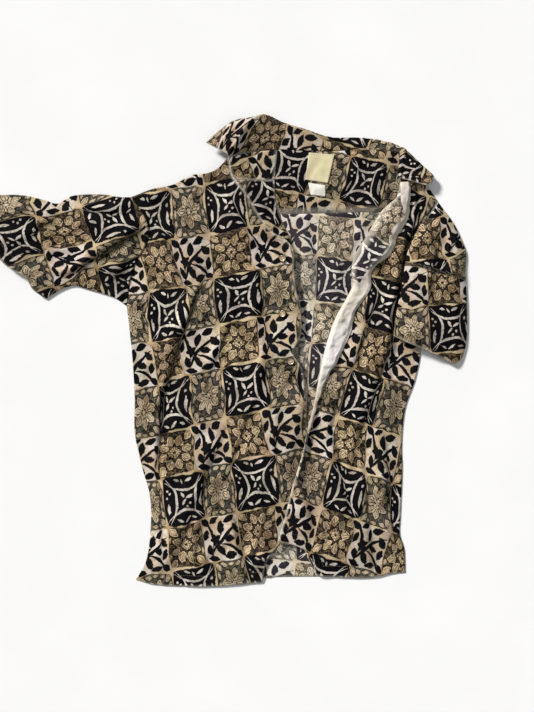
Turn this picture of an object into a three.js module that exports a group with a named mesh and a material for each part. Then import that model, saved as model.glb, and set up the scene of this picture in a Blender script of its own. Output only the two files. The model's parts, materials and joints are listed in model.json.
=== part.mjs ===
// A short-sleeved aloha shirt laid on its back with the front open.
// Millimetres, +Z up. The origin is the middle of the outline, at the surface that the shirt lies on.
// +Y points to the collar. The wearer's right is at -X, so "right" pieces lie at -X.
//
// Every piece of cloth is one closed wall. Flat panels are patches between four edge curves, and
// their height over the surface comes from what lies below them plus a table of folds.

import * as THREE from 'three';

// ---- Driving dimensions -------------------------------------------------------------------------

const CLOTH = 1.2;             // wall of every piece of cloth
const SEAM = 0.4;              // air between two pieces that are sewn edge to edge
const LABEL_GAP = 0.45;        // air between the label and the yoke
const FRONT_GAP = 0.6;         // air under a front where it comes down to the back
const FACING_GAP = 1.1;        // air between the turned-out facing and the left front
const FRONT_RISE = 1.8;        // how far a front stands off the back away from its edges
const EDGE_FALL = 42;          // distance over which a front comes down to its side edge and hem
const EDGE_LIFT_REACH = 34;    // how far in from the right front edge its lift dies out
const LEFT_HEM_RISE = 0.15;    // share of the left front's rise that is left at its hem
const LAP_RISE = 2.4;          // how far the left front climbs to pass over the right one
const COLLAR_LIFT = 2.3;       // how far the collar's fall holds the yoke off the surface
const FACING_INSET = 2.0;      // right facing, from the front edge and the neck seam that it turns in from
const ARMHOLE_INSET = 1.8;     // flattened sleeve, from its outline at the armhole and the side folds
const SLEEVE_HEIGHT = 7.5;     // flattened sleeve, top of the upper layer
const SLEEVE_EDGE = 2.6;       // half the height of a sleeve's rounded side fold
const SLEEVE_ON_BODY = 5.4;    // how far the left sleeve climbs where it lies on the body
const COLLAR_ROLL = 1.35;      // radius of the collar's fold at its crest
const BUTTON_DIAMETER = 12;
const BUTTON_THICKNESS = 2.4;
const BUTTON_BEVEL = 0.5;
const BUTTON_GAP = 0.8;        // air between a button and the front below it
const BUTTON_HOLE = 1.6;
const BUTTON_HOLE_PITCH = 3.4;
const LABEL_THICKNESS = 1.0;
const CUT_MARGIN = 8;          // rows this near to a line that cuts a table give way to the cut's point

// Parts of the height map: where each begins and over what distance it comes in, each way.
const ZONES = {
  collarFall: { x: 70, overX: 40, y: 250, overY: 20 },
  underLeftFront: { x: 90, overX: 20, y: -110, overY: -20 },
  overRightFront: { x: 205, overX: -32, y: -92, overY: -22 },
};

// Ramps along one direction: 0 at "from", 1 a distance "over" further on.
const OPEN_FROM_RIGHT = { from: 2, over: 14 };
const OPEN_FROM_LEFT = { from: 4, over: 14 };
const LEFT_OF_SLEEVE = { from: 300, over: -24 };
const BELOW_SLEEVE = { from: -30, over: -24 };
const LEFT_SHOULDER = { from: 300, over: -40 };
const SLEEVE_CLIMB = { from: 384, over: -30 };

// ---- Tables -------------------------------------------------------------------------------------

// A table is read as rows with named columns.
function table(columns, rows) {
  const names = columns.split(' ');
  return rows.map((row) => Object.fromEntries(names.map((name, i) => [name, row[i]])));
}

// Side seam of the wearer's right half, from the hem to the underarm.
const SIDE_RIGHT = table('x y', [
  [-128, -377],
  [-111, -345],
  [-103, -271],
  [-106, -233],
  [-116, -198],
  [-130, -134],
  [-130, -81],
  [-134, -10],
  [-143, 74],
]);

// Armhole from the underarm to the shoulder tip.
const ARMHOLE_RIGHT = table('x y', [
  [-143, 74],
  [-139, 112],
  [-128, 147],
  [-113, 173],
  [-107, 201],
  [-118, 229],
  [-136, 254],
]);

// Shoulder from its tip to the neck.
const SHOULDER_RIGHT = table('x y', [
  [-136, 254],
  [-101, 266],
  [-67, 273],
  [-34, 289],
  [-9, 291],
  [8, 299],
  [24, 314],
]);

// Front edge of the right half from the neck to the hem, with how far it stands up off the back.
const EDGE_RIGHT = table('x y lift', [
  [24, 314, 15],
  [31, 284, 16],
  [52, 257, 15],
  [77, 217, 12],
  [94, 196, 10],
  [121, 180, 8],
  [131, 165, 7],
  [132, 132, 5],
  [136, 99, 4],
  [142, 78, 3.5],
  [143, 26, 3.5],
  [131, -3, 3],
  [145, -28, 2.5],
  [151, -62, 1.5],
  [154, -107, 0.5],
  [157, -150, 0],
  [162, -190, 0],
  [156, -232, 0],
  [139, -279, 0],
  [110, -316, 0],
  [88, -345, 0],
  [80, -381, 0],
]);

// Hem of the right front from the side seam to the front edge.
const HEM_RIGHT = table('x y', [
  [-128, -377],
  [-101, -384],
  [-60, -387],
  [-7, -388],
  [35, -385],
  [80, -381],
]);

// Hem of the back, side seam to side seam.
const HEM_BACK = table('x y', [
  [-128, -377],
  [-101, -384],
  [-60, -387],
  [-7, -388],
  [35, -384],
  [67, -377],
  [98, -373],
  [143, -372],
  [202, -372],
  [260, -373],
  [290, -367],
  [316, -365],
]);

// Side seam of the wearer's left half, from the hem to the underarm.
const SIDE_LEFT = table('x y', [
  [316, -365],
  [314, -325],
  [307, -302],
  [308, -271],
  [311, -191],
  [310, -157],
  [316, -94],
  [332, -48],
  [342, 0],
  [349, 78],
]);

const ARMHOLE_LEFT = table('x y', [
  [349, 78],
  [339, 109],
  [335, 147],
  [337, 183],
  [347, 213],
  [369, 248],
]);

const SHOULDER_LEFT = table('x y', [
  [303, 325],
  [328, 305],
  [347, 279],
  [369, 248],
]);

// Neck edge of the yoke, from the right shoulder to the left one.
const NECK_BACK = table('x y', [
  [24, 314],
  [44, 323],
  [70, 329],
  [110, 331],
  [192, 329],
  [250, 331],
  [283, 331],
  [303, 325],
]);

// Front edge of the left half from the hem to the neck.
const EDGE_LEFT = table('x y', [
  [105, -314],
  [116, -277],
  [130, -221],
  [138, -196],
  [148, -163],
  [155, -127],
  [165, -89],
  [172, -51],
  [184, 4],
  [200, 53],
  [217, 84],
  [229, 109],
  [227, 130],
  [232, 157],
  [251, 188],
  [275, 228],
  [301, 252],
  [307, 277],
  [303, 325],
]);

// Hem of the left front from its loose corner to the side seam.
const HEM_LEFT = table('x y', [
  [105, -314],
  [130, -318],
  [148, -325],
  [158, -345],
  [170, -368],
  [202, -372],
  [260, -373],
  [290, -367],
  [316, -365],
]);

// Seam between the yoke and the back, armhole to armhole.
const YOKE_SEAM = table('x y', [
  [-117.4, 228],
  [-22, 227],
  [77, 225],
  [192, 227],
  [290, 230],
  [357, 229],
]);

// Turned-out facing of the left half: its own fold or cut edge, and its selvedge side.
const FACING_LEFT_INNER = table('x y', [
  [307, 277],
  [302, 253],
  [276, 229],
  [252, 189],
  [233.5, 157],
  [228.5, 131],
  [230.5, 109],
  [218.5, 84],
  [201.5, 53],
  [185.5, 4],
  [173.5, -51],
  [166.5, -89],
  [156.5, -127],
  [149.5, -163],
  [136, -206],
]);

const FACING_LEFT_SELVEDGE = table('x y', [
  [322, 277],
  [323, 248],
  [320, 220],
  [303, 190],
  [290, 158],
  [268, 142],
  [259, 128],
  [259, 106],
  [248, 86],
  [233, 66],
  [226, 33],
  [204, -15],
  [187, -47],
  [170, -102],
  [158, -138],
  [141, -207],
]);

// Right facing: its seam at the neck, and its free edge from there down to the front edge.
const FACING_RIGHT_NECK = table('x y', [
  [24, 314],
  [44, 321],
  [70, 327],
  [105, 330],
]);

const FACING_RIGHT_INNER = table('x y', [
  [105, 330],
  [101, 282],
  [102, 249],
  [107, 229],
  [116, 206],
  [128, 184],
]);

// Right sleeve, stretched out to the side: overarm fold, underarm fold and hem.
const OVERARM_RIGHT = table('x y', [
  [-136, 254],
  [-155, 254],
  [-182, 258],
  [-210, 258],
  [-235, 255],
  [-257, 243],
  [-276, 248],
  [-316, 257],
  [-389, 254],
  [-420, 249],
]);

const UNDERARM_RIGHT = table('x y', [
  [-143, 74],
  [-163, 88],
  [-186, 96],
  [-210, 103],
  [-229, 108],
  [-248, 103],
  [-276, 86],
]);

const CUFF_RIGHT = table('x y', [
  [-420, 249],
  [-402, 221],
  [-379, 186],
  [-352, 152],
  [-336, 137],
  [-308, 121],
  [-296, 101],
  [-276, 86],
]);

// Left sleeve, hanging down over the side of the body.
const OUTER_FOLD_LEFT = table('x y', [
  [371, 245],
  [395, 211],
  [408, 184],
  [416, 162],
  [415, 134],
  [418, 60],
  [416, 12],
  [410, -11],
]);

const INNER_FOLD_LEFT = table('x y', [
  [341, 209],
  [327, 183],
  [318, 160],
  [312, 125],
  [306, 92],
  [299, 55],
  [296, 25],
]);

const ARMHOLE_TOP_LEFT = table('x y', [
  [371, 245],
  [359, 228],
  [350, 216],
  [341, 209],
]);

const CUFF_LEFT = table('x y', [
  [410, -11],
  [397, -21],
  [380, -14],
  [342, 4],
  [318, 14],
  [296, 25],
]);

// Folds: a soft ridge from one end to the other, its half width and its height.
const BACK_FOLDS = table('x1 y1 x2 y2 width height', [
  [150, 215, 168, 85, 16, 2.5],
  [196, 205, 205, 120, 15, 2.0],
]);

const FRONT_RIGHT_FOLDS = table('x1 y1 x2 y2 width height', [
  [-30, 30, -90, -80, 20, 6.0],
  [-88, -60, -104, -190, 17, 4.5],
  [-104, 205, -52, 88, 22, 3.5],
  [8, -140, -70, -335, 24, 4.5],
  [-96, -230, -92, -350, 17, 3.5],
  [66, 150, 84, -60, 24, 2.5],
  [20, 250, 64, 170, 20, 3.5],
  [20, -250, 46, -370, 20, 3.0],
]);

const FRONT_LEFT_FOLDS = table('x1 y1 x2 y2 width height', [
  [262, 96, 222, -30, 20, 4.5],
  [286, 20, 226, -150, 22, 5.0],
  [190, -150, 222, -290, 20, 5.0],
  [140, -205, 158, -305, 18, 4.0],
  [276, -150, 290, -320, 17, 3.5],
  [240, -200, 254, -360, 20, 3.0],
]);

const SLEEVE_RIGHT_FOLDS = table('x1 y1 x2 y2 width height', [
  [-236, 132, -112, 210, 18, 7.0],
  [-218, 236, -150, 230, 14, 4.0],
  [-262, 226, -330, 176, 22, 4.0],
  [-300, 236, -372, 216, 18, 2.5],
  [-178, 112, -140, 150, 15, 3.0],
]);

const SLEEVE_LEFT_FOLDS = table('x1 y1 x2 y2 width height', [
  [346, 214, 360, 150, 15, 4.0],
  [360, 168, 344, 70, 18, 4.5],
  [392, 150, 398, 30, 18, 3.0],
]);

// Collar, one row per section: the seam at the neck, the crest of the roll and the outer edge.
const COLLAR = table('neckX neckY neckZ crestX crestY crestZ edgeX edgeY edgeZ', [
  [25.5, 316, 17.5, 22, 322, 21, -12, 341, 14],
  [40, 325.5, 15.5, 39, 344, 25, 2, 354, 12],
  [57, 329, 12.5, 52, 364, 25, 24, 371, 11],
  [77, 332, 9.0, 65, 379, 21, 49, 381, 9],
  [97, 333.5, 6.0, 84, 387, 15, 80, 377, 4],
  [123, 333, 3.4, 116, 375, 9, 118, 350, 1.6],
  [149, 332, 3.4, 149, 366, 5, 149, 318, 0.65],
  [192, 331.5, 3.4, 192, 353, 3.4, 192, 297, 0.65],
  [250, 333, 3.4, 252, 351, 3.4, 250, 295, 0.65],
  [284, 333, 3.4, 294, 343, 3.4, 300, 290, 0.65],
  [296, 331, 3.6, 305, 338, 3.6, 338, 284, 0.65],
  [306, 328, 5.2, 316, 332, 6.2, 361, 288, 4.6],
  [304, 306, 8.6, 310, 309, 11, 358, 275, 8.6],
  [302, 282, 8.0, 308, 283, 10, 348, 271, 8.0],
]);

// Buttons on the right front.
const BUTTONS = table('name x y', [
  ['button_1', 114, 152],
  ['button_2', 114, 61],
  ['button_3', 127, -17],
]);

// Blank woven label and size tab on the yoke, each a four-cornered patch.
const NECK_LABEL = table('x y', [[151, 282], [188, 276], [199, 323], [157, 326.5]]);
const SIZE_TAB = table('x y', [[160, 257], [184, 254.5], [184, 272.5], [156, 277]]);

// ---- Small helpers ------------------------------------------------------------------------------

const clamp01 = (t) => Math.min(1, Math.max(0, t));

function smooth(t) {
  const c = clamp01(t);
  return c * c * (3 - 2 * c);
}

const ramp = (value, { from, over }) => smooth((value - from) / over);
const inZone = ({ x: fromX, overX, y: fromY, overY }, x, y) => (
  ramp(x, { from: fromX, over: overX }) * ramp(y, { from: fromY, over: overY })
);

// One smooth curve through the rows of one or more tables; a corner stays where two tables meet.
function edge(...tables) {
  const path = new THREE.CurvePath();
  for (const rows of tables) {
    const points = rows.map((row) => new THREE.Vector3(row.x, row.y, 0));
    path.add(new THREE.CatmullRomCurve3(points, false, 'centripetal'));
  }
  path.arcLengthDivisions = 400;
  return (t) => path.getPointAt(clamp01(t));
}

const reversed = (rows) => [...rows].reverse();

// A column's value at a given y, between the two rows around it.
function atY(rows, y, column) {
  const sorted = rows[0].y < rows[rows.length - 1].y ? rows : reversed(rows);
  if (y <= sorted[0].y) return sorted[0][column];
  for (let i = 1; i < sorted.length; i += 1) {
    const low = sorted[i - 1];
    const high = sorted[i];
    if (y <= high.y) {
      const t = (y - low.y) / (high.y - low.y || 1);
      return low[column] + t * (high[column] - low[column]);
    }
  }
  return sorted[sorted.length - 1][column];
}

// Height of the folds of a table at one place. Each fold fades over 0.4 of its length at both ends.
function foldHeight(folds, x, y) {
  let height = 0;
  for (const fold of folds) {
    const dx = fold.x2 - fold.x1;
    const dy = fold.y2 - fold.y1;
    const along = ((x - fold.x1) * dx + (y - fold.y1) * dy) / (dx * dx + dy * dy);
    const across = ((x - fold.x1) * dy - (y - fold.y1) * dx) / Math.hypot(dx, dy);
    const ends = smooth((along + 0.2) / 0.4) * smooth((1.2 - along) / 0.4);
    height += fold.height * ends * Math.exp(-((across / fold.width) ** 2));
  }
  return height;
}

// Patch between four edge curves, as rows of points.
function patch({ bottom, top, left, right, columns, rows }) {
  const corner = [bottom(0), bottom(1), top(0), top(1)];
  const grid = [];
  for (let j = 0; j <= rows; j += 1) {
    const v = j / rows;
    const line = [];
    for (let i = 0; i <= columns; i += 1) {
      const u = i / columns;
      const point = new THREE.Vector3();
      point.addScaledVector(bottom(u), 1 - v).addScaledVector(top(u), v);
      point.addScaledVector(left(v), 1 - u).addScaledVector(right(v), u);
      point.addScaledVector(corner[0], -(1 - u) * (1 - v)).addScaledVector(corner[1], -u * (1 - v));
      point.addScaledVector(corner[2], -(1 - u) * v).addScaledVector(corner[3], -u * v);
      line.push(point);
    }
    grid.push(line);
  }
  return grid;
}

// Pull the outline of a patch in by half a seam, so that neighbours stay apart.
function inset(grid, distance = SEAM / 2) {
  const rows = grid.length - 1;
  const columns = grid[0].length - 1;
  const pull = (point, towards) => {
    const step = towards.clone().sub(point);
    step.z = 0;
    return point.clone().add(step.setLength(distance));
  };
  const copy = grid.map((line) => line.map((point) => point.clone()));
  for (let i = 0; i <= columns; i += 1) {
    copy[0][i] = pull(copy[0][i], grid[1][i]);
    copy[rows][i] = pull(copy[rows][i], grid[rows - 1][i]);
  }
  for (let j = 0; j <= rows; j += 1) {
    copy[j][0] = pull(copy[j][0], grid[j][1]);
    copy[j][columns] = pull(copy[j][columns], grid[j][columns - 1]);
  }
  return copy;
}

// ---- Closed solids ------------------------------------------------------------------------------

// Closed wall between two equal grids. A wrapped grid closes on itself across its columns.
function wall(upper, lower, wrapped = false) {
  const rows = upper.length;
  const columns = upper[0].length;
  const points = [...upper.flat(), ...lower.flat()];
  const top = (j, i) => j * columns + (i % columns);
  const bottom = (j, i) => rows * columns + top(j, i);
  const index = [];
  const quad = (a, b, c, d) => index.push(a, b, c, a, c, d);
  const across = wrapped ? columns : columns - 1;
  for (let j = 0; j + 1 < rows; j += 1) {
    for (let i = 0; i < across; i += 1) {
      quad(top(j, i), top(j, i + 1), top(j + 1, i + 1), top(j + 1, i));
      quad(bottom(j, i), bottom(j + 1, i), bottom(j + 1, i + 1), bottom(j, i + 1));
    }
  }
  for (let i = 0; i < across; i += 1) {
    quad(top(0, i), bottom(0, i), bottom(0, i + 1), top(0, i + 1));
    quad(top(rows - 1, i), top(rows - 1, i + 1), bottom(rows - 1, i + 1), bottom(rows - 1, i));
  }
  if (!wrapped) {
    for (let j = 0; j + 1 < rows; j += 1) {
      quad(top(j, 0), top(j + 1, 0), bottom(j + 1, 0), bottom(j, 0));
      const last = columns - 1;
      quad(top(j, last), bottom(j, last), bottom(j + 1, last), top(j + 1, last));
    }
  }
  return outward(points, index);
}

// Geometry with its faces pointing out, whichever way the grid runs.
function outward(points, index) {
  let volume = 0;
  for (let k = 0; k < index.length; k += 3) {
    const [a, b, c] = [points[index[k]], points[index[k + 1]], points[index[k + 2]]];
    volume += a.dot(b.clone().cross(c));
  }
  const order = volume > 0 ? [0, 1, 2] : [0, 2, 1];
  const turned = [];
  for (let k = 0; k < index.length; k += 3) {
    turned.push(...order.map((o) => index[k + o]));
  }
  const geometry = new THREE.BufferGeometry();
  const positions = points.flatMap((p) => p.toArray());
  geometry.setAttribute('position', new THREE.Float32BufferAttribute(positions, 3));
  geometry.setIndex(turned);
  geometry.computeVertexNormals();
  return geometry;
}

// Panel whose underside is at height(x, y).
function panel(grid, height, thickness = CLOTH) {
  const lower = grid.map((line) => line.map((p) => new THREE.Vector3(p.x, p.y, height(p.x, p.y))));
  const upper = lower.map((line) => line.map((p) => new THREE.Vector3(p.x, p.y, p.z + thickness)));
  return wall(upper, lower);
}

// Unit normal at each point of a grid, from its neighbours.
function normals(grid, wrapped) {
  const rows = grid.length;
  const columns = grid[0].length;
  const column = (i) => (wrapped ? (i + columns) % columns : Math.min(columns - 1, Math.max(0, i)));
  return grid.map((line, j) => line.map((_, i) => {
    const along = grid[Math.min(rows - 1, j + 1)][i].clone().sub(grid[Math.max(0, j - 1)][i]);
    const across = line[column(i + 1)].clone().sub(line[column(i - 1)]);
    return across.cross(along).normalize();
  }));
}

function offset(grid, distance, wrapped = false) {
  const directions = normals(grid, wrapped);
  return grid.map((line, j) => line.map((p, i) => p.clone().addScaledVector(directions[j][i], distance)));
}

// ---- Heights ------------------------------------------------------------------------------------

// Underside of the back and the yoke. The collar's fall lies under the yoke at the neck.
function backBottom(x, y) {
  const fromRight = ramp(x - atY(EDGE_RIGHT, y, 'x'), OPEN_FROM_RIGHT);
  const fromLeft = ramp(atY(EDGE_LEFT, y, 'x') - x, OPEN_FROM_LEFT);
  const folds = foldHeight(BACK_FOLDS, x, y) * fromRight * fromLeft;
  return COLLAR_LIFT * inZone(ZONES.collarFall, x, y) + folds;
}

const onBack = (x, y) => backBottom(x, y) + CLOTH + FRONT_GAP;

const lowest = (rows) => Math.min(...rows.map((row) => row.y));

// Outer edge of a half at a given y: its side seam up to the underarm, its armhole above.
const outerX = (side, armhole, y) => atY(y < side.at(-1).y ? side : armhole, y, 'x');

// Underside of the right front: down at the side seam, up at its front edge and at the folds.
function frontRightBottom(x, y) {
  const inner = atY(EDGE_RIGHT, y, 'x') - x;
  const side = smooth((x - outerX(SIDE_RIGHT, ARMHOLE_RIGHT, y)) / EDGE_FALL);
  const hem = smooth((y - lowest(HEM_RIGHT)) / EDGE_FALL);
  const lift = atY(EDGE_RIGHT, y, 'lift') * Math.exp(-((inner / EDGE_LIFT_REACH) ** 2));
  const rise = FRONT_RISE + foldHeight(FRONT_RIGHT_FOLDS, x, y);
  const bare = 1 - inZone(ZONES.underLeftFront, x, y);
  return onBack(x, y) + (rise * side * hem + lift) * bare;
}

// Underside of the left front, which lies over the right one near the hem.
function frontLeftBottom(x, y) {
  const side = smooth((outerX(SIDE_LEFT, ARMHOLE_LEFT, y) - x) / EDGE_FALL);
  const hem = Math.max(smooth((y - lowest(HEM_LEFT)) / EDGE_FALL), LEFT_HEM_RISE);
  const clearOfSleeve = clamp01(ramp(x, LEFT_OF_SLEEVE) + ramp(y, BELOW_SLEEVE));
  const folds = foldHeight(FRONT_LEFT_FOLDS, x, y) * clearOfSleeve;
  const rise = (FRONT_RISE + folds) * side * hem * ramp(y, LEFT_SHOULDER);
  return onBack(x, y) + rise + LAP_RISE * inZone(ZONES.overRightFront, x, y);
}

// The right facing falls from the front edge down to the yoke and the back.
function facingRightBottom(x, y) {
  const crestX = atY(EDGE_RIGHT, y, 'x');
  const crest = frontRightBottom(crestX, y);
  const t = clamp01((x - crestX) / (atY(FACING_RIGHT_INNER, y, 'x') - crestX));
  const low = onBack(x, y);
  return low + (crest - low) * (1 - t) ** 1.6;
}

const facingLeftBottom = (x, y) => frontLeftBottom(x, y) + CLOTH + FACING_GAP;

// ---- Pieces -------------------------------------------------------------------------------------

const shirt = new THREE.Group();

function add(name, geometry, colour, roughness = 0.85) {
  const material = new THREE.MeshStandardMaterial({ color: colour, roughness, metalness: 0 });
  const mesh = new THREE.Mesh(geometry, material);
  mesh.name = name;
  shirt.add(mesh);
  return mesh;
}

const PRINT = '#6b614c';
const PRINT_INSIDE = '#948b78';
const SELVEDGE = '#e6e1d6';
const BUTTON_COLOUR = '#b08f5c';
const LABEL_COLOUR = '#e4d9a8';
const TAB_COLOUR = '#e9e6da';

function makeBack() {
  const upTo = (rows, y) => [
    ...rows.filter((row) => row.y < y - CUT_MARGIN),
    { x: atY(rows, y, 'x'), y },
  ];
  const grid = patch({
    bottom: edge(HEM_BACK),
    top: edge(YOKE_SEAM),
    left: edge(SIDE_RIGHT, upTo(ARMHOLE_RIGHT, YOKE_SEAM[0].y)),
    right: edge(SIDE_LEFT, upTo(ARMHOLE_LEFT, YOKE_SEAM.at(-1).y)),
    columns: 18,
    rows: 20,
  });
  add('back', panel(inset(grid), backBottom), PRINT_INSIDE);
}

function makeYoke() {
  const above = (rows, y) => [
    { x: atY(rows, y, 'x'), y },
    ...rows.filter((row) => row.y > y + CUT_MARGIN),
  ];
  const grid = patch({
    bottom: edge(YOKE_SEAM),
    top: edge(SHOULDER_RIGHT, NECK_BACK, SHOULDER_LEFT),
    left: edge(above(ARMHOLE_RIGHT, YOKE_SEAM[0].y)),
    right: edge(above(ARMHOLE_LEFT, YOKE_SEAM.at(-1).y)),
    columns: 26,
    rows: 7,
  });
  add('yoke', panel(inset(grid, SEAM), backBottom), PRINT);
}

function makeFrontRight() {
  const grid = patch({
    bottom: edge(HEM_RIGHT),
    top: edge(SHOULDER_RIGHT),
    left: edge(SIDE_RIGHT, ARMHOLE_RIGHT),
    right: edge(reversed(EDGE_RIGHT)),
    columns: 12,
    rows: 30,
  });
  add('front_right', panel(inset(grid), frontRightBottom), PRINT);
}

function makeFrontLeft() {
  const grid = patch({
    bottom: edge(HEM_LEFT),
    top: edge(SHOULDER_LEFT),
    left: edge(EDGE_LEFT),
    right: edge(SIDE_LEFT, ARMHOLE_LEFT),
    columns: 9,
    rows: 30,
  });
  add('front_left', panel(inset(grid), frontLeftBottom), PRINT);
}

function makeFacings() {
  const last = FACING_RIGHT_INNER.at(-1);
  const crest = EDGE_RIGHT.filter((row) => row.y > last.y + CUT_MARGIN);
  const crestEnd = { x: atY(EDGE_RIGHT, last.y, 'x'), y: last.y };
  const right = patch({
    bottom: edge([crestEnd, last]),
    top: edge(FACING_RIGHT_NECK),
    left: edge([crestEnd, ...reversed(crest)]),
    right: edge(reversed(FACING_RIGHT_INNER)),
    columns: 6,
    rows: 12,
  });
  add('facing_right', panel(inset(right, FACING_INSET), facingRightBottom), PRINT);

  const left = patch({
    bottom: edge([FACING_LEFT_INNER.at(-1), FACING_LEFT_SELVEDGE.at(-1)]),
    top: edge([FACING_LEFT_INNER[0], FACING_LEFT_SELVEDGE[0]]),
    left: edge(reversed(FACING_LEFT_INNER)),
    right: edge(reversed(FACING_LEFT_SELVEDGE)),
    columns: 3,
    rows: 30,
  });
  add('facing_left', panel(left, facingLeftBottom), SELVEDGE);
}

// A sleeve is a flattened tube, open at the armhole and at the cuff. Its patch runs along the arm
// in rows and from one side fold to the other in columns.
function sleeve(name, grid, base, folds) {
  const around = 20;
  const outer = grid.map((line) => {
    const across = new THREE.CatmullRomCurve3(line, false, 'centripetal');
    const ring = [];
    for (let k = 0; k < around; k += 1) {
      const angle = (2 * Math.PI * k) / around;
      const p = across.getPoint(clamp01((1 - Math.cos(angle)) / 2));
      const full = Math.sqrt(1 - Math.abs(Math.cos(angle)) ** 10);
      const low = base(p.x, p.y);
      const upper = SLEEVE_HEIGHT - SLEEVE_EDGE + foldHeight(folds, p.x, p.y);
      const z = Math.sin(angle) > 0 ? SLEEVE_EDGE + upper * full : SLEEVE_EDGE * (1 - full);
      ring.push(new THREE.Vector3(p.x, p.y, low + z));
    }
    return ring;
  });
  const inner = offset(outer, -CLOTH * inwardSign(outer), true);
  add(name, wall(outer, inner, true), PRINT);
}

// Sign that makes the grid's normals point away from the tube's middle line.
function inwardSign(rings) {
  const ring = rings[Math.floor(rings.length / 2)];
  const middle = ring.reduce((sum, p) => sum.add(p), new THREE.Vector3()).divideScalar(ring.length);
  const direction = normals(rings, true)[Math.floor(rings.length / 2)][6];
  return Math.sign(direction.dot(ring[6].clone().sub(middle)));
}

function makeSleeves() {
  const right = patch({
    bottom: edge(reversed(ARMHOLE_RIGHT)),
    top: edge(CUFF_RIGHT),
    left: edge(OVERARM_RIGHT),
    right: edge(UNDERARM_RIGHT),
    columns: 12,
    rows: 12,
  });
  sleeve('sleeve_right', inset(right, ARMHOLE_INSET), () => 0, SLEEVE_RIGHT_FOLDS);

  const left = patch({
    bottom: edge(ARMHOLE_TOP_LEFT),
    top: edge(CUFF_LEFT),
    left: edge(OUTER_FOLD_LEFT),
    right: edge(INNER_FOLD_LEFT),
    columns: 12,
    rows: 12,
  });
  const overBody = (x) => SLEEVE_ON_BODY * ramp(x, SLEEVE_CLIMB);
  sleeve('sleeve_left', inset(left, ARMHOLE_INSET), overBody, SLEEVE_LEFT_FOLDS);
}

// Sections of the collar: seam, stand, roll and fall, with a small round roll at the crest.
function makeCollar() {
  const halfRoll = 1.6 * COLLAR_ROLL;
  const up = new THREE.Vector3(0, 0, COLLAR_ROLL);
  const sections = COLLAR.map((row) => {
    const neck = new THREE.Vector3(row.neckX, row.neckY, row.neckZ);
    const crest = new THREE.Vector3(row.crestX, row.crestY, row.crestZ - COLLAR_ROLL);
    const free = new THREE.Vector3(row.edgeX, row.edgeY, row.edgeZ);
    const towards = (target) => crest.clone().add(target.clone().sub(crest).setLength(halfRoll));
    const inside = towards(neck).setZ(crest.z).add(up);
    const outside = towards(free).setZ(crest.z).sub(up);
    const stand = neck.clone().lerp(inside, 0.5);
    const fall = outside.clone().lerp(free, 0.5);
    return [neck, stand, inside, crest, outside, fall, free];
  });
  const between = 3;
  const count = (sections.length - 1) * between;
  const lines = sections[0].map((_, i) => {
    const through = sections.map((section) => section[i]);
    return new THREE.CatmullRomCurve3(through, false, 'centripetal');
  });
  const grid = [];
  for (let j = 0; j <= count; j += 1) {
    const line = lines.map((curve) => curve.getPoint(j / count));
    line.forEach((p) => p.setZ(Math.max(p.z, CLOTH / 2)));
    grid.push(line);
  }
  add('collar', wall(offset(grid, CLOTH / 2), offset(grid, -CLOTH / 2)), PRINT);
}

// Four-hole button, lying on the right front.
function makeButtons() {
  const flatRadius = BUTTON_DIAMETER / 2 - BUTTON_BEVEL;
  const disc = new THREE.Shape().absarc(0, 0, flatRadius, 0, 2 * Math.PI, false);
  for (const [sx, sy] of [[1, 1], [1, -1], [-1, -1], [-1, 1]]) {
    const hole = new THREE.Path();
    const half = BUTTON_HOLE_PITCH / 2;
    hole.absarc(sx * half, sy * half, BUTTON_HOLE / 2, 0, 2 * Math.PI, true);
    disc.holes.push(hole);
  }
  const settings = {
    depth: BUTTON_THICKNESS - 2 * BUTTON_BEVEL,
    bevelEnabled: true,
    bevelThickness: BUTTON_BEVEL,
    bevelSize: BUTTON_BEVEL,
    bevelSegments: 1,
    curveSegments: 4,
  };
  const reach = BUTTON_DIAMETER / 2;
  for (const { name, x, y } of BUTTONS) {
    const button = add(name, new THREE.ExtrudeGeometry(disc, settings), BUTTON_COLOUR, 0.35);
    const slopeX = (frontRightBottom(x + reach, y) - frontRightBottom(x - reach, y)) / (2 * reach);
    const slopeY = (frontRightBottom(x, y + reach) - frontRightBottom(x, y - reach)) / (2 * reach);
    const normal = new THREE.Vector3(-slopeX, -slopeY, 1).normalize();
    button.quaternion.setFromUnitVectors(new THREE.Vector3(0, 0, 1), normal);
    button.position.set(x, y, frontRightBottom(x, y) + CLOTH + BUTTON_BEVEL + BUTTON_GAP);
  }
}

// Label and size tab, made from the yoke's own heights, moved up.
function makeLabels() {
  const side = (a, b) => edge([a, b]);
  const labelBottom = (x, y) => backBottom(x, y) + CLOTH + LABEL_GAP;
  const labels = [
    { name: 'neck_label', corners: NECK_LABEL, colour: LABEL_COLOUR },
    { name: 'size_tab', corners: SIZE_TAB, colour: TAB_COLOUR },
  ];
  for (const { name, corners, colour } of labels) {
    const [a, b, c, d] = corners;
    const grid = patch({
      bottom: side(a, b),
      top: side(d, c),
      left: side(a, d),
      right: side(b, c),
      columns: 4,
      rows: 4,
    });
    add(name, panel(inset(grid, 0.1), labelBottom, LABEL_THICKNESS), colour, 0.7);
  }
}

makeBack();
makeYoke();
makeFacings();
makeFrontRight();
makeFrontLeft();
makeSleeves();
makeCollar();
makeButtons();
makeLabels();

export default shirt;
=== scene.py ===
# %% [markdown]
# # An aloha shirt, laid flat with its front open
#
# The shirt lies on its back on a pale floor. One sleeve is stretched out and the other hangs down
# over the side of the body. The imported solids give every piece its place. This script puts a thin,
# creased shell of printed cotton in the place of each solid, with hems, stitches and buttons.
#
# Lengths in the tables are millimetres, and they turn to metres when they go into a mesh. +X is
# the wearer's left, +Y the collar and +Z up.

# %% Load the frame
import json
import math

import bmesh
import bpy
import numpy as np
from mathutils import Matrix, Vector
from mathutils.bvhtree import BVHTree

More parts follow.
